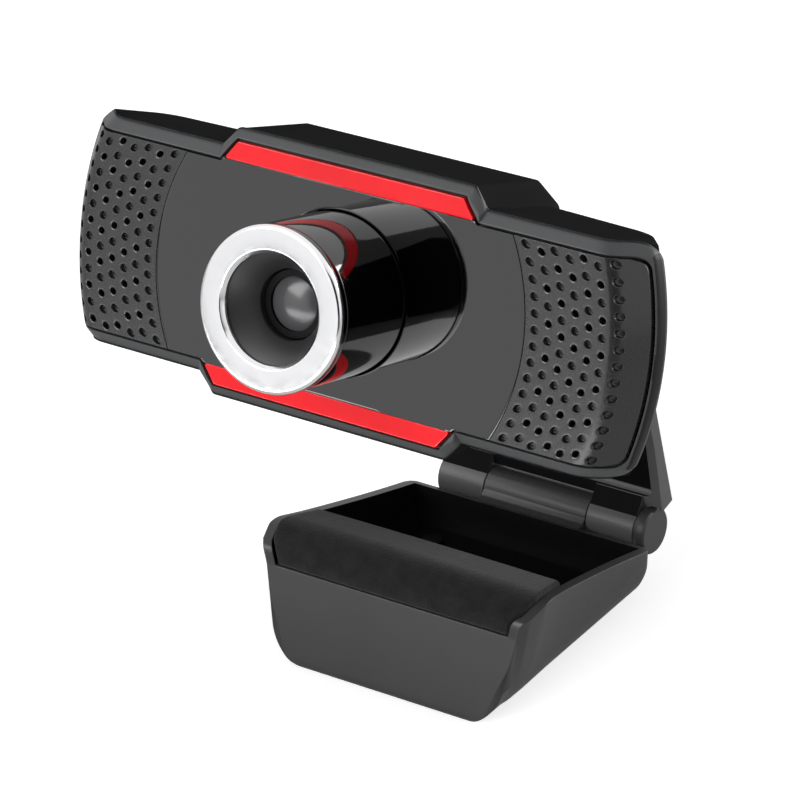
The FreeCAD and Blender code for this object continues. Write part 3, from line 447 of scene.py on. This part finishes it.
bezel = {
    "outer": {"top": 19.9, "side": 16.95, "topHalf": 20.15, "footHalf": 22.5, "radius": 49.85,
              "corner": 3.5, "bend": 0.9},
    "opening": {"top": 18.4, "side": 15.1, "topHalf": 19.65, "footHalf": 22.125, "radius": 49.35,
                "corner": 2.4, "bend": 0.25},
    "borderTop": 18.06, "borderSide": 15.11,      # height where the border starts to slope back
    "borderWidth": 1.84, "borderDepth": 1.55,     # how far it slopes: across, and back
    "seamDepth": 1.75,                            # depth of the seam to the housing, behind the face
    "ledge": 1.5, "recess": 1.5, "ledgeBack": 1.0,     # the ledge that carries panel and grilles
    "innerEdge": ((0.0, 0.2), (0.06, 0.05), (0.18, 0.0)),    # rounding at the opening: inset, depth
    "outerEdge": ((0.25, 0.03), (0.1, 0.12), (0.0, 0.3)),    # rounding at the outside: inset, depth
    "plainFrom": 0.22, "plainTo": 0.45, "plainRows": 7,      # the plain border between the two roundings
    "narrow": {"inner": 0.3, "from": 0.35, "to": 0.45, "outer": 0.4},     # largest shares of its width
    "rim": 0.45, "rimGap": 0.02,                  # bright rim before the seam, and its least height
    # the end walls below get painted shade
    "endWall": (44.0, 0.8),                       # end walls: beyond this, and facing the side so much
}
outer, opening = (fullOutline(quarterOutline(bezel[name])) for name in ("outer", "opening"))
# the border starts high over the raised middle, comes down along the slope and stays low over the ends
quarterStart = np.concatenate([
    np.full(stretches["top"] + stretches["bend"], bezel["borderTop"]),
    np.linspace(bezel["borderTop"], bezel["borderSide"], stretches["slope"] + stretches["bend"]),
    np.full(stretches["side"] + stretches["corner"] + stretches["end"], bezel["borderSide"])])
borderStart = np.abs(fullOutline(np.stack([quarterStart, quarterStart], -1))[:, 0])


def frontDepth(flat):
    # the face's depth, and beyond the border's start its slope
    beyond = np.clip(np.abs(flat[..., 1]) - borderStart, 0, None)
    return faceDepth(np.linalg.norm(flat, axis=-1)) + beyond * bezel["borderDepth"] / bezel["borderWidth"]


def isShadedEndWall(centre, normal):
    # faces of the two end walls, up to the rim, which get painted shade
    origin, ahead = fromHead(np.array([[0.0, 0.0, 0.0], [0.0, 1.0, 0.0]]))
    depth = (centre - origin) @ (ahead - origin)
    rimDepth = faceDepth(bezel["outer"]["radius"]) + bezel["seamDepth"] - bezel["rim"]
    beyond, facing = bezel["endWall"]
    return (np.abs(centre[:, 0]) > beyond) & (np.abs(normal[:, 0]) > facing) & (depth < rimDepth)


def makeBezel():
    # a closed section carried round the opening: every row is the opening or the outside, moved along the
    # line from one to the other. Rows run from the ledge's back, over the border, to the housing's seam
    width = np.linalg.norm(outer - opening, axis=1)
    outward = (outer - opening) / width[:, None]
    narrow = {name: share * width for name, share in bezel["narrow"].items()}
    ledge = opening - outward * bezel["ledge"]
    ledgeDepth, openingDepth, outerDepth = (
        faceDepth(np.linalg.norm(line, axis=1)) for line in (ledge, opening, outer))
    rows = [outlineRow(ledge, ledgeDepth + bezel["seamDepth"] + bezel["ledgeBack"]),
            outlineRow(ledge, ledgeDepth + bezel["recess"]),
            outlineRow(opening, openingDepth + bezel["recess"])]
    for inset, drop in bezel["innerEdge"]:
        flat = opening + outward * np.minimum(inset, narrow["inner"])[:, None]
        rows.append(outlineRow(flat, frontDepth(flat) + drop))
    near = np.minimum(bezel["plainFrom"], narrow["from"])
    far = width - np.minimum(bezel["plainTo"], narrow["to"])
    for share in np.linspace(0, 1, bezel["plainRows"]):
        flat = opening + outward * (near + (far - near) * share)[:, None]
        rows.append(outlineRow(flat, frontDepth(flat)))
    for inset, drop in bezel["outerEdge"]:
        flat = outer - outward * np.minimum(inset, narrow["outer"])[:, None]
        seam = faceDepth(np.linalg.norm(flat, axis=1)) + bezel["seamDepth"]
        rows.append(outlineRow(flat, np.minimum(frontDepth(flat) + drop, seam - bezel["rimGap"])))
    rows += [outlineRow(outer, outerDepth + bezel["seamDepth"] - bezel["rim"]),
             outlineRow(outer, outerDepth + bezel["seamDepth"])]
    piece = makePiece("bezelFrame", [gridPart(np.array(rows), True, True)], "head", bezelGrey,
                      ("front_bezel",), sharp=40)
    # the end walls get the darker copy of the bezel's ABS as painted shade
    paintFaces(piece.data, bezelPaintedShade, isShadedEndWall)


makeBezel()
print("bezel made")

grille = {
    "inner": 31.65, "outer": 49.0, "half": 14.75, "corner": 2.05, "thick": 1.3,
    "rows": 7, "firstRow": 33.15, "rowStep": 13.0 / 6, "long": 13,    # long rows have this many holes
    "pitch": 2.32, "shortPitch": 2.43,            # between the holes of long and of short rows
    "hole": 0.6, "throughHole": 0.52, "dimple": 0.85,      # two radii and a depth
    # rings between a cell's edge and its hole: radius, share of the cell's square form, depth
    "rings": ((0.98, 0.15, 0.0), (0.74, 0.0, 0.0), (0.655, 0.0, 0.015)),
    "holeEdge": 0.09,                             # depth where the hole's rounding ends
    # a dimple's floor: share of its radius, depth short of the dimple's
    "floor": ((0.97, 0.12), (0.8, 0.0), (0.01, -0.02)),
    "sides": 16,                                  # points round a hole, which the cells' form needs
    "seamLip": (0.0, 0.08, 0.3),                  # rows of points beside the seam to the panel
    "wallDepths": (0.0, 0.12),                    # rows of points on the outer walls, before the back
}
panel = {
    "gap": 0.12, "half": 14.75,                   # the seam to the grilles, and half the arcs' height
    "shoulder": (21.95, 14.75), "waist": (21.55, 15.21),     # corners beside the red bars
    "hole": 12.11, "thick": 1.4, "margin": 0.3,
    "edge": ((0.0, 0.03), (0.01, 0.01), (0.03, 0.0)),        # nearly sharp: inset, depth
    "arcSteps": 20, "sideSteps": (6, 3, 24),      # steps up half an arc, and along the straight sides
}
inlay = {"topCorner": (19.3, 18.05), "lowCorner": (21.4, 15.25), "bend": 0.25, "thick": 1.4, "edge": 0.1}


def makePanel():
    # a flat plate between the barrel's hole and an outline of two arcs and two straight sides. Each point
    # of the hole lies on the line from the lens axis to its point of the outline
    radius = grille["inner"] - panel["gap"]
    low = math.asin(panel["half"] / radius)
    sweep = np.linspace(-low, low, 2 * panel["arcSteps"])[panel["arcSteps"]:]
    arc = radius * np.stack([np.cos(sweep), np.sin(sweep)], -1)
    stops = [arc[-1], panel["shoulder"], panel["waist"], (0, panel["waist"][1])]
    topLine = np.concatenate([
        spacedLine(start, end, steps) for start, end, steps in zip(stops, stops[1:], panel["sideSteps"])])
    quarter = np.concatenate([arc, topLine[1:]])
    upper = np.concatenate([quarter, quarter[::-1] * (-1, 1)])
    loop = np.concatenate([upper, upper[::-1] * (1, -1)])
    step = np.linalg.norm(np.diff(np.concatenate([loop, loop[:1]]), axis=0), axis=1)
    loop = loop[step > 1e-6]    # doubles from the mirroring go
    unit = loop / np.linalg.norm(loop, axis=1)[:, None]
    hole = panel["hole"] * unit
    near, far = hole + panel["margin"] * unit, loop - panel["margin"] * unit
    rows = [outlineRow(hole, panel["thick"])]
    rows += [outlineRow(hole + inset * unit, depth) for inset, depth in panel["edge"]]
    rows += [outlineRow(near + (far - near) * share, 0.0) for share in (0, 0.5, 1)]
    rows += [outlineRow(loop - inset * unit, depth) for inset, depth in panel["edge"][::-1]]
    rows.append(outlineRow(loop, panel["thick"]))
    makePiece("glossPanel", [gridPart(np.array(rows), True, True)], "head", panelAcrylic,
              ("face_panel",))


def makeInlay(side, name, node):
    # a bar with four rounded corners, wider towards the lens; side is 1 above the lens and -1 below it
    (topX, topZ), (lowX, lowZ), bend = inlay["topCorner"], inlay["lowCorner"], inlay["bend"]
    corners = [(-topX, topZ, bend), (topX, topZ, bend), (lowX, lowZ, bend), (-lowX, lowZ, bend)]
    outline = roundedPath(corners, 4, True) * (1, side)
    makePiece(name, [slab(outline, inlay["thick"], inlay["edge"])], "head", inlayRed,
              (node,), sharp=32)


makePanel()
makeInlay(1, "redBarTop", "inlay_top")
makeInlay(-1, "redBarBottom", "inlay_bottom")
print("panel and red bars made")


def grillePoint(radius, height, depth):
    # from distance to the lens axis, height and depth behind the face to the head's frame
    radius, height, depth = np.broadcast_arrays(radius, height, depth)
    across = np.sqrt(np.maximum(radius ** 2 - height ** 2, 0))
    return np.stack([across, faceDepth(radius) + depth, height], -1)


def holeCell(middle, boundary, circle, isThrough):
    # one cell of the plate as rings: its edge, the rings round the hole, the hole's wall, and for a
    # dimple its floor
    rims, depths = [boundary], [0.0]
    for size, share, depth in grille["rings"]:
        rims.append((middle + circle * size) * (1 - share) + boundary * share)
        depths.append(depth)
    hole = circle * (grille["throughHole"] if isThrough else grille["hole"])
    rims.append(middle + hole)
    depths.append(grille["holeEdge"])
    if isThrough:
        rims.append(rims[-1])
        depths.append(grille["thick"])
    else:
        rims += [middle + hole * share for share, _ in grille["floor"]]
        depths += [grille["dimple"] - short for _, short in grille["floor"]]
    rings = [grillePoint(rim[:, 0], rim[:, 1], depth) for rim, depth in zip(rims, depths)]
    return gridPart(np.array(rings), False, True)


def holeCells():
    # rows of cells on arcs about the lens axis, every second row with one cell less. All rows but the
    # first and last have through holes and dimples in turn
    reach = grille["rowStep"] / 2
    angles = np.arange(grille["sides"]) * 2 * math.pi / grille["sides"]
    circle = np.stack([np.cos(angles), np.sin(angles)], -1)
    square = circle / np.abs(circle).max(1)[:, None]
    # the directions beside the corners are moved to a quarter of the side, which neighbours share
    isBeside = np.abs(np.abs(square) - math.tan(math.pi / 8)) < 1e-6
    square = np.where(isBeside, np.sign(square) * 0.5, square)
    parts = []
    for row in range(grille["rows"]):
        radius = grille["firstRow"] + row * grille["rowStep"]
        isShort = row % 2
        count = grille["long"] - isShort
        pitch = grille["shortPitch"] if isShort else grille["pitch"]
        for i in range(count):
            height = (i - (count - 1) / 2) * pitch
            up = min(pitch / 2, grille["half"] - height)
            down = min(pitch / 2, grille["half"] + height)
            edge = square * np.stack([np.full(len(square), reach), np.where(square[:, 1] > 0, up, down)], -1)
            isThrough = 0 < row < grille["rows"] - 1 and i % 2 == (row < 3)
            middle = np.array([radius, height])
            parts.append(holeCell(middle, middle + edge, circle, isThrough))
        if isShort:
            # the plain strips over and under a short row
            radii = radius + np.array([-1, -0.5, 0, 0.5, 1])[:, None] * reach
            for sign in (1, -1):
                strip = sign * np.array([count / 2 * pitch, grille["half"]])[None]
                parts.append(gridPart(grillePoint(radii, strip, 0.0)))
    return parts


def makeGrille(side, name, node):
    # the cells, a plain strip on either side of them, and walls round the plate down to its back
    half, corner, end = grille["half"], grille["corner"], grille["outer"]
    parts = holeCells()
    topHole = (grille["long"] - 1) / 2 * grille["pitch"]
    beside = np.array([half, (half + topHole) / 2])
    quarters = 2 * (grille["long"] - 1)    # quarter pitches from the middle to the top hole
    between = np.arange(-quarters, quarters + 1) * grille["pitch"] / 4
    heights = np.concatenate([-beside, between, beside[::-1]])
    firstSide = grille["firstRow"] - grille["rowStep"] / 2
    lastSide = firstSide + grille["rows"] * grille["rowStep"]
    seamSide = grille["inner"] + np.array(grille["seamLip"])
    innerStrip = np.append(seamSide, firstSide)[:, None]
    parts.append(gridPart(grillePoint(innerStrip, heights[None], 0.0)))
    # the outer strip ends on the grille's end arc, whose two corners are arcs of their own
    level = half - corner
    across = math.sqrt((end - corner) ** 2 - level ** 2)
    over = np.clip(np.abs(heights) - level, 0, corner)
    edgeX = np.where(np.abs(heights) > level * end / (end - corner),
                     across + np.sqrt(np.maximum(corner ** 2 - over ** 2, 0)),
                     np.sqrt(end ** 2 - heights ** 2))
    edgeRadius = np.maximum(np.hypot(edgeX, heights), lastSide)
    shares = np.array([0, 0.35, 0.7, 0.95, 1.0])[:, None]
    outerStrip = lastSide + (edgeRadius[None] - lastSide) * shares
    parts.append(gridPart(grillePoint(outerStrip, heights[None], 0.0)))
    # the four walls
    depths = np.array([*grille["wallDepths"], grille["thick"]])[:, None]
    parts.append(gridPart(grillePoint(grille["inner"], heights[None], depths)))
    parts.append(gridPart(grillePoint(edgeRadius[None], heights[None], depths)))
    quarterSteps = firstSide + np.arange(4 * grille["rows"] + 1) * grille["rowStep"] / 4
    wallRadii = np.concatenate([seamSide, quarterSteps, outerStrip[1:, 0]])[None]
    for sign in (1, -1):
        parts.append(gridPart(grillePoint(wallRadii, sign * half, depths)))
    parts = [(points * (side, 1, 1), faces) for points, faces in parts]
    makePiece(name, parts, "head", grilleGrey, (node,), weld=0.01, sharp=38)


makeGrille(1, "grilleRight", "grille_right")
makeGrille(-1, "grilleLeft", "grille_left")
print("grilles made")

# pieces turned about the lens axis. A corner is (radius, place along the axis, rounding)
turned = {
    "barrelTube": {
        "corners": [(10.6, -14.48), (11.9, -14.48, 0.12), (11.9, 3.04), (13.9, 3.04), (13.9, 4.24),
                    (10.6, 4.24)],
        "bendSteps": 4, "steps": 160, "sharp": 30,
        "body": "head", "material": barrelBlack, "slot": "barrel_black", "replaces": ("lens_tube",)},
    "chromeRing": {
        "corners": [(12.0, -15.7, 0.05), (12.0, -16.5, 0.7), (8.5, -16.45, 0.35), (7.95, -15.8, 0.2),
                    (7.95, -15.4)],
        "bendSteps": 8, "steps": 192, "sharp": 30,
        "body": "focus_ring", "material": ringChrome, "slot": "ring_silver", "replaces": ("chrome_ring",)},
    "ringCollar": {    # the ring's black back, between its bright front and the barrel
        "corners": [(12.0, -14.6, 0.12), (12.0, -15.62, 0.05), (8.45, -15.3), (8.45, -14.6)],
        "bendSteps": 4, "steps": 160, "sharp": 30,
        "body": "focus_ring", "material": barrelBlack, "slot": "barrel_black", "replaces": ()},
    "lightTrapCone": {
        "corners": [(8.33, -15.35, 0.1), (5.15, -11.2, 0.2), (5.15, -8.8), (6.03, -8.8), (6.03, -1.5),
                    (10.3, -1.5), (10.3, -14.48), (8.33, -14.48)],
        "bendSteps": 2, "steps": 128, "sharp": 40,
        "body": "focus_ring", "material": hoodBlack, "slot": "hood_black", "replaces": ("lens_hood",)},
}
for name, item in turned.items():
    profile = roundedPath(item["corners"], item["bendSteps"], True)
    makePiece(name, [lathe(profile, item["steps"])], item["body"], item["material"],
              item["replaces"], sharp=item["sharp"])
print("optics made")

foot = {
    # place along the foot, half its width at the bottom and at the top
    "widths": ((-24.1, 19.4, 23.2), (-17.0, 19.5, 23.6), (-15.4, 19.5, 24.6), (-12.5, 19.5, 25.1),
               (-6.0, 19.8, 24.5), (19.2, 21.4, 23.2)),
    "tall": 20.0, "wall": 1.6, "groove": 0.35,
    "lean": 4.0 / 15.0,                # the front leans back by this much of its height
    "tray": {"inset": 0.5, "front": -20.5, "back": 20.6, "floor": 1.0, "outwards": 0.3,
             "upwards": (-0.45, 0.85)},
}
foam = {
    "line": [(-17.0, 15.05), (-17.0, 17.9, 3.2), (-12.2, 20.5, 5.0), (-3.9, 17.9)],    # nose's side view
    "thick": 1.6, "soft": 0.55, "crown": 0.12,    # soft is the radius of all its edges
    "lineSteps": 12, "alongSteps": 44, "acrossSteps": 41, "endSteps": 6, "edgeSteps": 7, "endGap": 1.3,
}


def footHalf(along, height):
    # half the foot's width at a place along it and a height: the bottom's and the top's, mixed by height
    place, low, high = np.array(foot["widths"]).T
    bottom, top = np.interp(along, place, low), np.interp(along, place, high)
    return bottom + (top - bottom) * height / foot["tall"]


def makeFoam():
    # a strip of foam laid over the nose: a crowned section with quarter-round edges, carried along the
    # nose's side view and sunk by a quarter circle at both ends
    thick, soft, crown = foam["thick"], foam["soft"], foam["crown"]
    path = roundedPath(foam["line"], foam["lineSteps"])
    step = np.concatenate([[0], np.cumsum(np.linalg.norm(np.diff(path, axis=0), axis=1))])
    total = step[-1]
    ends = soft * (1 - np.cos(np.linspace(0, math.pi / 2, foam["endSteps"])))
    firstPlain = soft * foam["endGap"]
    place = np.concatenate([ends, np.linspace(firstPlain, total - firstPlain, foam["alongSteps"]),
                            total - ends[::-1]])
    line = np.stack([np.interp(place, step, path[:, 0]), np.interp(place, step, path[:, 1])], -1)
    tangent = np.gradient(line, axis=0)
    for _ in range(2):    # evened out over the joins of arcs and straights
        tangent[1:-1] = (tangent[:-2] + tangent[1:-1] + tangent[2:]) / 3
    tangent /= np.linalg.norm(tangent, axis=1)[:, None]
    near = np.minimum(place, total - place)
    endSink = soft - np.sqrt(np.maximum(soft ** 2 - np.clip(soft - near, 0, None) ** 2, 0))
    across = np.linspace(-1, 1, foam["acrossSteps"])
    turn = np.linspace(math.pi / 2, 0, foam["edgeSteps"])[1:]    # right edge, and backwards the left one
    half = (footHalf(line[:, 0], line[:, 1]) - foot["wall"] - foot["groove"])[:, None]
    x = np.concatenate([across * (half - soft), half - soft + soft * np.cos(turn), half, -half,
                        soft - half - soft * np.cos(turn[::-1])], 1)
    down = np.concatenate([crown * across ** 2, soft - soft * np.sin(turn) + crown, [thick, thick],
                           soft - soft * np.sin(turn[::-1]) + crown])
    down = np.where(down < thick, np.minimum(down + endSink[:, None], thick), down)
    y = line[:, :1] + tangent[:, 1:] * down
    z = line[:, 1:] - tangent[:, :1] * down
    piece = makePiece("foamStrip", [gridPart(np.stack([x, y, z], -1), False, True, True)], "foot",
                      foamBlack, ("foam_pad",), place=np.asarray, sharp=50)


makeFoam()
print("foam made")


def footInsideAndShade(centre, normal):
    # the tray's walls: inside the foot's outline, behind its leaning front, and facing the tray. They get the
    # black inside colour, partly their own and partly painted shade
    x, y, z = centre.T
    tray = foot["tray"]
    within = (np.abs(x) < footHalf(y, z) - tray["inset"]) & (y < tray["back"]) & (z > tray["floor"])
    isBehind = y > tray["front"] + z * foot["lean"]
    least, most = tray["upwards"]
    isTurned = (normal[:, 0] * np.sign(x) < tray["outwards"]) & (normal[:, 2] > least) & (normal[:, 2] < most)
    return within & isBehind & isTurned


arm = {"hinge": (25.6, 9.5), "webFrom": 3.48, "webTo": 7.0, "webHalf": 18.0, "forwards": 0.2}


def armShadedWebs(centre, normal):
    # the webs over the hinge barrel: between two radii about the hinge, facing the front. They get painted
    # shade, as they lie in the head's shadow
    reach = np.linalg.norm(centre[:, 1:] - arm["hinge"], axis=1)
    isWeb = (reach > arm["webFrom"]) & (reach < arm["webTo"]) & (np.abs(centre[:, 0]) < arm["webHalf"])
    return isWeb & (normal[:, 1] < -arm["forwards"])


shell = {"weld": 0.002, "sharp": 24, "weight": 100}    # mm, degrees, and how much area counts


def mergedCopy(name, node, body, material, insideAndShadeRule=None):
    # a shell's own surface with its doubles merged, so that its curves shade smoothly. Normals are
    # weighted by area, so wide flats stay flat beside their rounded edges
    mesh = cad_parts[node].data.copy()
    mesh.transform(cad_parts[node].matrix_world)
    work = bmesh.new()
    work.from_mesh(mesh)
    bmesh.ops.remove_doubles(work, verts=work.verts, dist=shell["weld"] / 1000)
    work.to_mesh(mesh)
    work.free()
    mesh.name = name
    mesh.materials.clear()
    mesh.materials.append(material)
    # the faces the rule picks get the black inside colour, which is painted shade in part
    if insideAndShadeRule:
        paintFaces(mesh, insideBlackAndShade, insideAndShadeRule)
    mesh.shade_smooth()
    mesh.set_sharp_from_angle(angle=math.radians(shell["sharp"]))
    piece = bpy.data.objects.new(name, mesh)
    bpy.context.scene.collection.objects.link(piece)
    weighting = piece.modifiers.new("weightedNormals", "WEIGHTED_NORMAL")
    weighting.keep_sharp = True
    weighting.weight = shell["weight"]
    graph = bpy.context.evaluated_depsgraph_get()
    weighted = bpy.data.meshes.new_from_object(piece.evaluated_get(graph))
    piece.modifiers.clear()
    piece.data = weighted
    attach(piece, body)
    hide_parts(node)


mergedCopy("housingShell", "rear_housing", "head", housingBlack)
# the foot's tray walls get painted shade in part
mergedCopy("footShell", "foot_shell", "foot", standCharcoal, footInsideAndShade)
# the arm's paler ABS is painted light, and its webs over the hinge get painted shade
mergedCopy("armShell", "arm_shell", "arm", armCharcoalPaintedLight, armShadedWebs)
print("housing and stand made")

# the frame's own pieces that stay, by material
keptNodes = [
    # the liner's near-black is partly its own colour and partly painted shade
    (insideBlackAndShade, ("foot_liner",)),
    (blackSteel, ("foot_screws",)),
    (springSteel, ("friction_clip",)),
    (innerBlack, ("arm_cover",)),
    (rubberBlack, ("shelf_pad", "cable_grommet", "microphone_boot")),
    (zincSteel, ("hinge_pin", "tilt_bolt", "tilt_nut", "tilt_washers", "housing_screws", "board_screws")),
    (standCharcoal, ("hinge_cap",)),
    (chipBlack, ("lens_holder", "filter_frame", "image_sensor", "board_chips")),
    (filterGlass, ("infrared_filter",)),
    (boardGreen, ("circuit_board",)),
    (headerIvory, ("cable_header",)),
    (microphoneCan, ("microphone",)),
    (cellBlack, ("lens_cell", "lens_spacer")),
    # the lenses' grey is painted reflection
    (lensGlassPaintedReflection, ("front_lens", "inner_lenses")),
]
for material, nodes in keptNodes:
    for node in nodes:
        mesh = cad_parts[node].data
        mesh.materials.clear()
        mesh.materials.append(material)
        mesh.shade_smooth()
        mesh.set_sharp_from_angle(angle=math.radians(25))
print("frame pieces dressed")

room = {
    "light": 0.36,    # the world's strength as light on the object
    "floorHalf": 3.0, "floorColour": (0.75, 0.75, 0.75, 1), "floorGlow": (0.62, 0.62, 0.62, 1),
    "cardHalf": (0.62, 0.8), "cardPlace": (0.868, -1.11, 0.513), "cardColour": (0.002, 0.002, 0.002, 1),
}


def litWorld():
    # a pale studio: plain white to the camera, to mirrors and through glass, dimmer as light on the object
    world = bpy.data.worlds.new("paleStudio")
    bpy.context.scene.world = world
    world.use_nodes = True
    tree = world.node_tree
    tree.nodes.clear()
    rays = addNode(tree, "ShaderNodeLightPath").outputs
    seen = addNode(tree, "ShaderNodeMath", {"operation": "MAXIMUM"}, {
        0: rays["Is Camera Ray"], 1: rays["Is Glossy Ray"]})
    seen = addNode(tree, "ShaderNodeMath", {"operation": "MAXIMUM"}, {
        0: seen.outputs[0], 1: rays["Is Transmission Ray"]})
    level = addNode(tree, "ShaderNodeMapRange", None, {
        "Value": seen.outputs[0], "To Min": room["light"], "To Max": 1.0})
    glow = addNode(tree, "ShaderNodeBackground", None, {
        "Color": (1, 1, 1, 1), "Strength": level.outputs["Result"]})
    addNode(tree, "ShaderNodeOutputWorld", None, {"Surface": glow.outputs[0]})


def flatSheet(name, halfWide, halfHigh, material):
    # a flat rectangle that belongs to the room
    corners = [(-halfWide, -halfHigh, 0), (halfWide, -halfHigh, 0), (halfWide, halfHigh, 0),
               (-halfWide, halfHigh, 0)]
    mesh = bpy.data.meshes.new(name)
    mesh.from_pydata(corners, [], [(0, 1, 2, 3)])
    mesh.materials.append(material)
    sheet = bpy.data.objects.new(name, mesh)
    bpy.context.scene.collection.objects.link(sheet)
    return sheet


def makeFloor():
    # white painted board that takes the shadow and shows as plain white elsewhere
    material, tree, shader = newMaterial("paleFloor")
    rays = addNode(tree, "ShaderNodeLightPath")
    feedNode(tree, shader, {
        "Base Color": room["floorColour"], "Roughness": 0.9, "Specular IOR Level": 0.0,
        "Emission Color": room["floorGlow"], "Emission Strength": rays.outputs["Is Camera Ray"]})
    flatSheet("floor", room["floorHalf"], room["floorHalf"], material)


def makeDarkCard():
    # black flag behind the camera: gloss surfaces that face the camera mirror it
    material, tree, shader = newMaterial("blackFlag")
    feedNode(tree, shader, {"Base Color": room["cardColour"], "Specular IOR Level": 0.0})
    card = flatSheet("darkCard", *room["cardHalf"], material)
    card.location = Vector(room["cardPlace"])
    card.rotation_euler = Vector(room["cardPlace"]).to_track_quat("Z", "Y").to_euler()
    card.visible_diffuse = False
    card.visible_shadow = False


# rectangular lamps: place, where they point, width and height in metres, power, and what doesn't see them
lamps = {
    # the broad softbox up in front, once for its mirror image in gloss and once for plain even light
    "softboxImage": ((-0.419, -0.691, 0.825), (0, -0.02, 0.06), (0.84, 0.76), 11.0, ("diffuse",)),
    "keyLight": ((-0.25, -0.95, 0.42), (0, -0.02, 0.05), (0.8, 0.6), 9.0, ("glossy",)),
    "rimLight": ((0.62, 0.72, 0.26), (0, 0.0, 0.04), (0.5, 0.4), 7.0, ()),
    # a bright card on the floor in front, only for its mirror image
    "floorCard": ((-0.04, -0.40, 0.002), (-0.04, -0.40, 0.5), (0.42, 0.42), 3.0, ("diffuse", "camera")),
}


def softLight(name, place, target, size, power, hidden):
    # a rectangular area lamp turned so that its own minus z points at the target
    lamp = bpy.data.lights.new(name, "AREA")
    lamp.shape, lamp.energy = "RECTANGLE", power
    lamp.size, lamp.size_y = size
    holder = bpy.data.objects.new(name, lamp)
    holder.location = place
    holder.rotation_euler = (Vector(target) - Vector(place)).to_track_quat("-Z", "Y").to_euler()
    for ray in hidden:
        setattr(holder, "visible_" + ray, False)
    bpy.context.scene.collection.objects.link(holder)


litWorld()
makeFloor()
makeDarkCard()
for name, values in lamps.items():
    softLight(name, *values)

view = {
    "lens": 202.647, "sensor": 36.0, "clip": (0.05, 20.0),
    "place": (0.33733589, -0.47057819, 0.37658766),
    "right": (0.82693618, 0.55827702, -0.06710686),
    "up": (-0.23292207, 0.44872068, 0.86278448),
    "back": (0.51178499, -0.69783703, 0.5010984),
}
camera = bpy.data.objects.new("camera", bpy.data.cameras.new("camera"))
bpy.context.scene.collection.objects.link(camera)
camera.data.sensor_width, camera.data.lens = view["sensor"], view["lens"]
camera.data.clip_start, camera.data.clip_end = view["clip"]
turn = Matrix((view["right"], view["up"], view["back"])).transposed().to_4x4()
camera.matrix_world = Matrix.Translation(view["place"]) @ turn
bpy.context.scene.camera = camera
bpy.context.scene.view_settings.view_transform = "Standard"

print("scene ready")
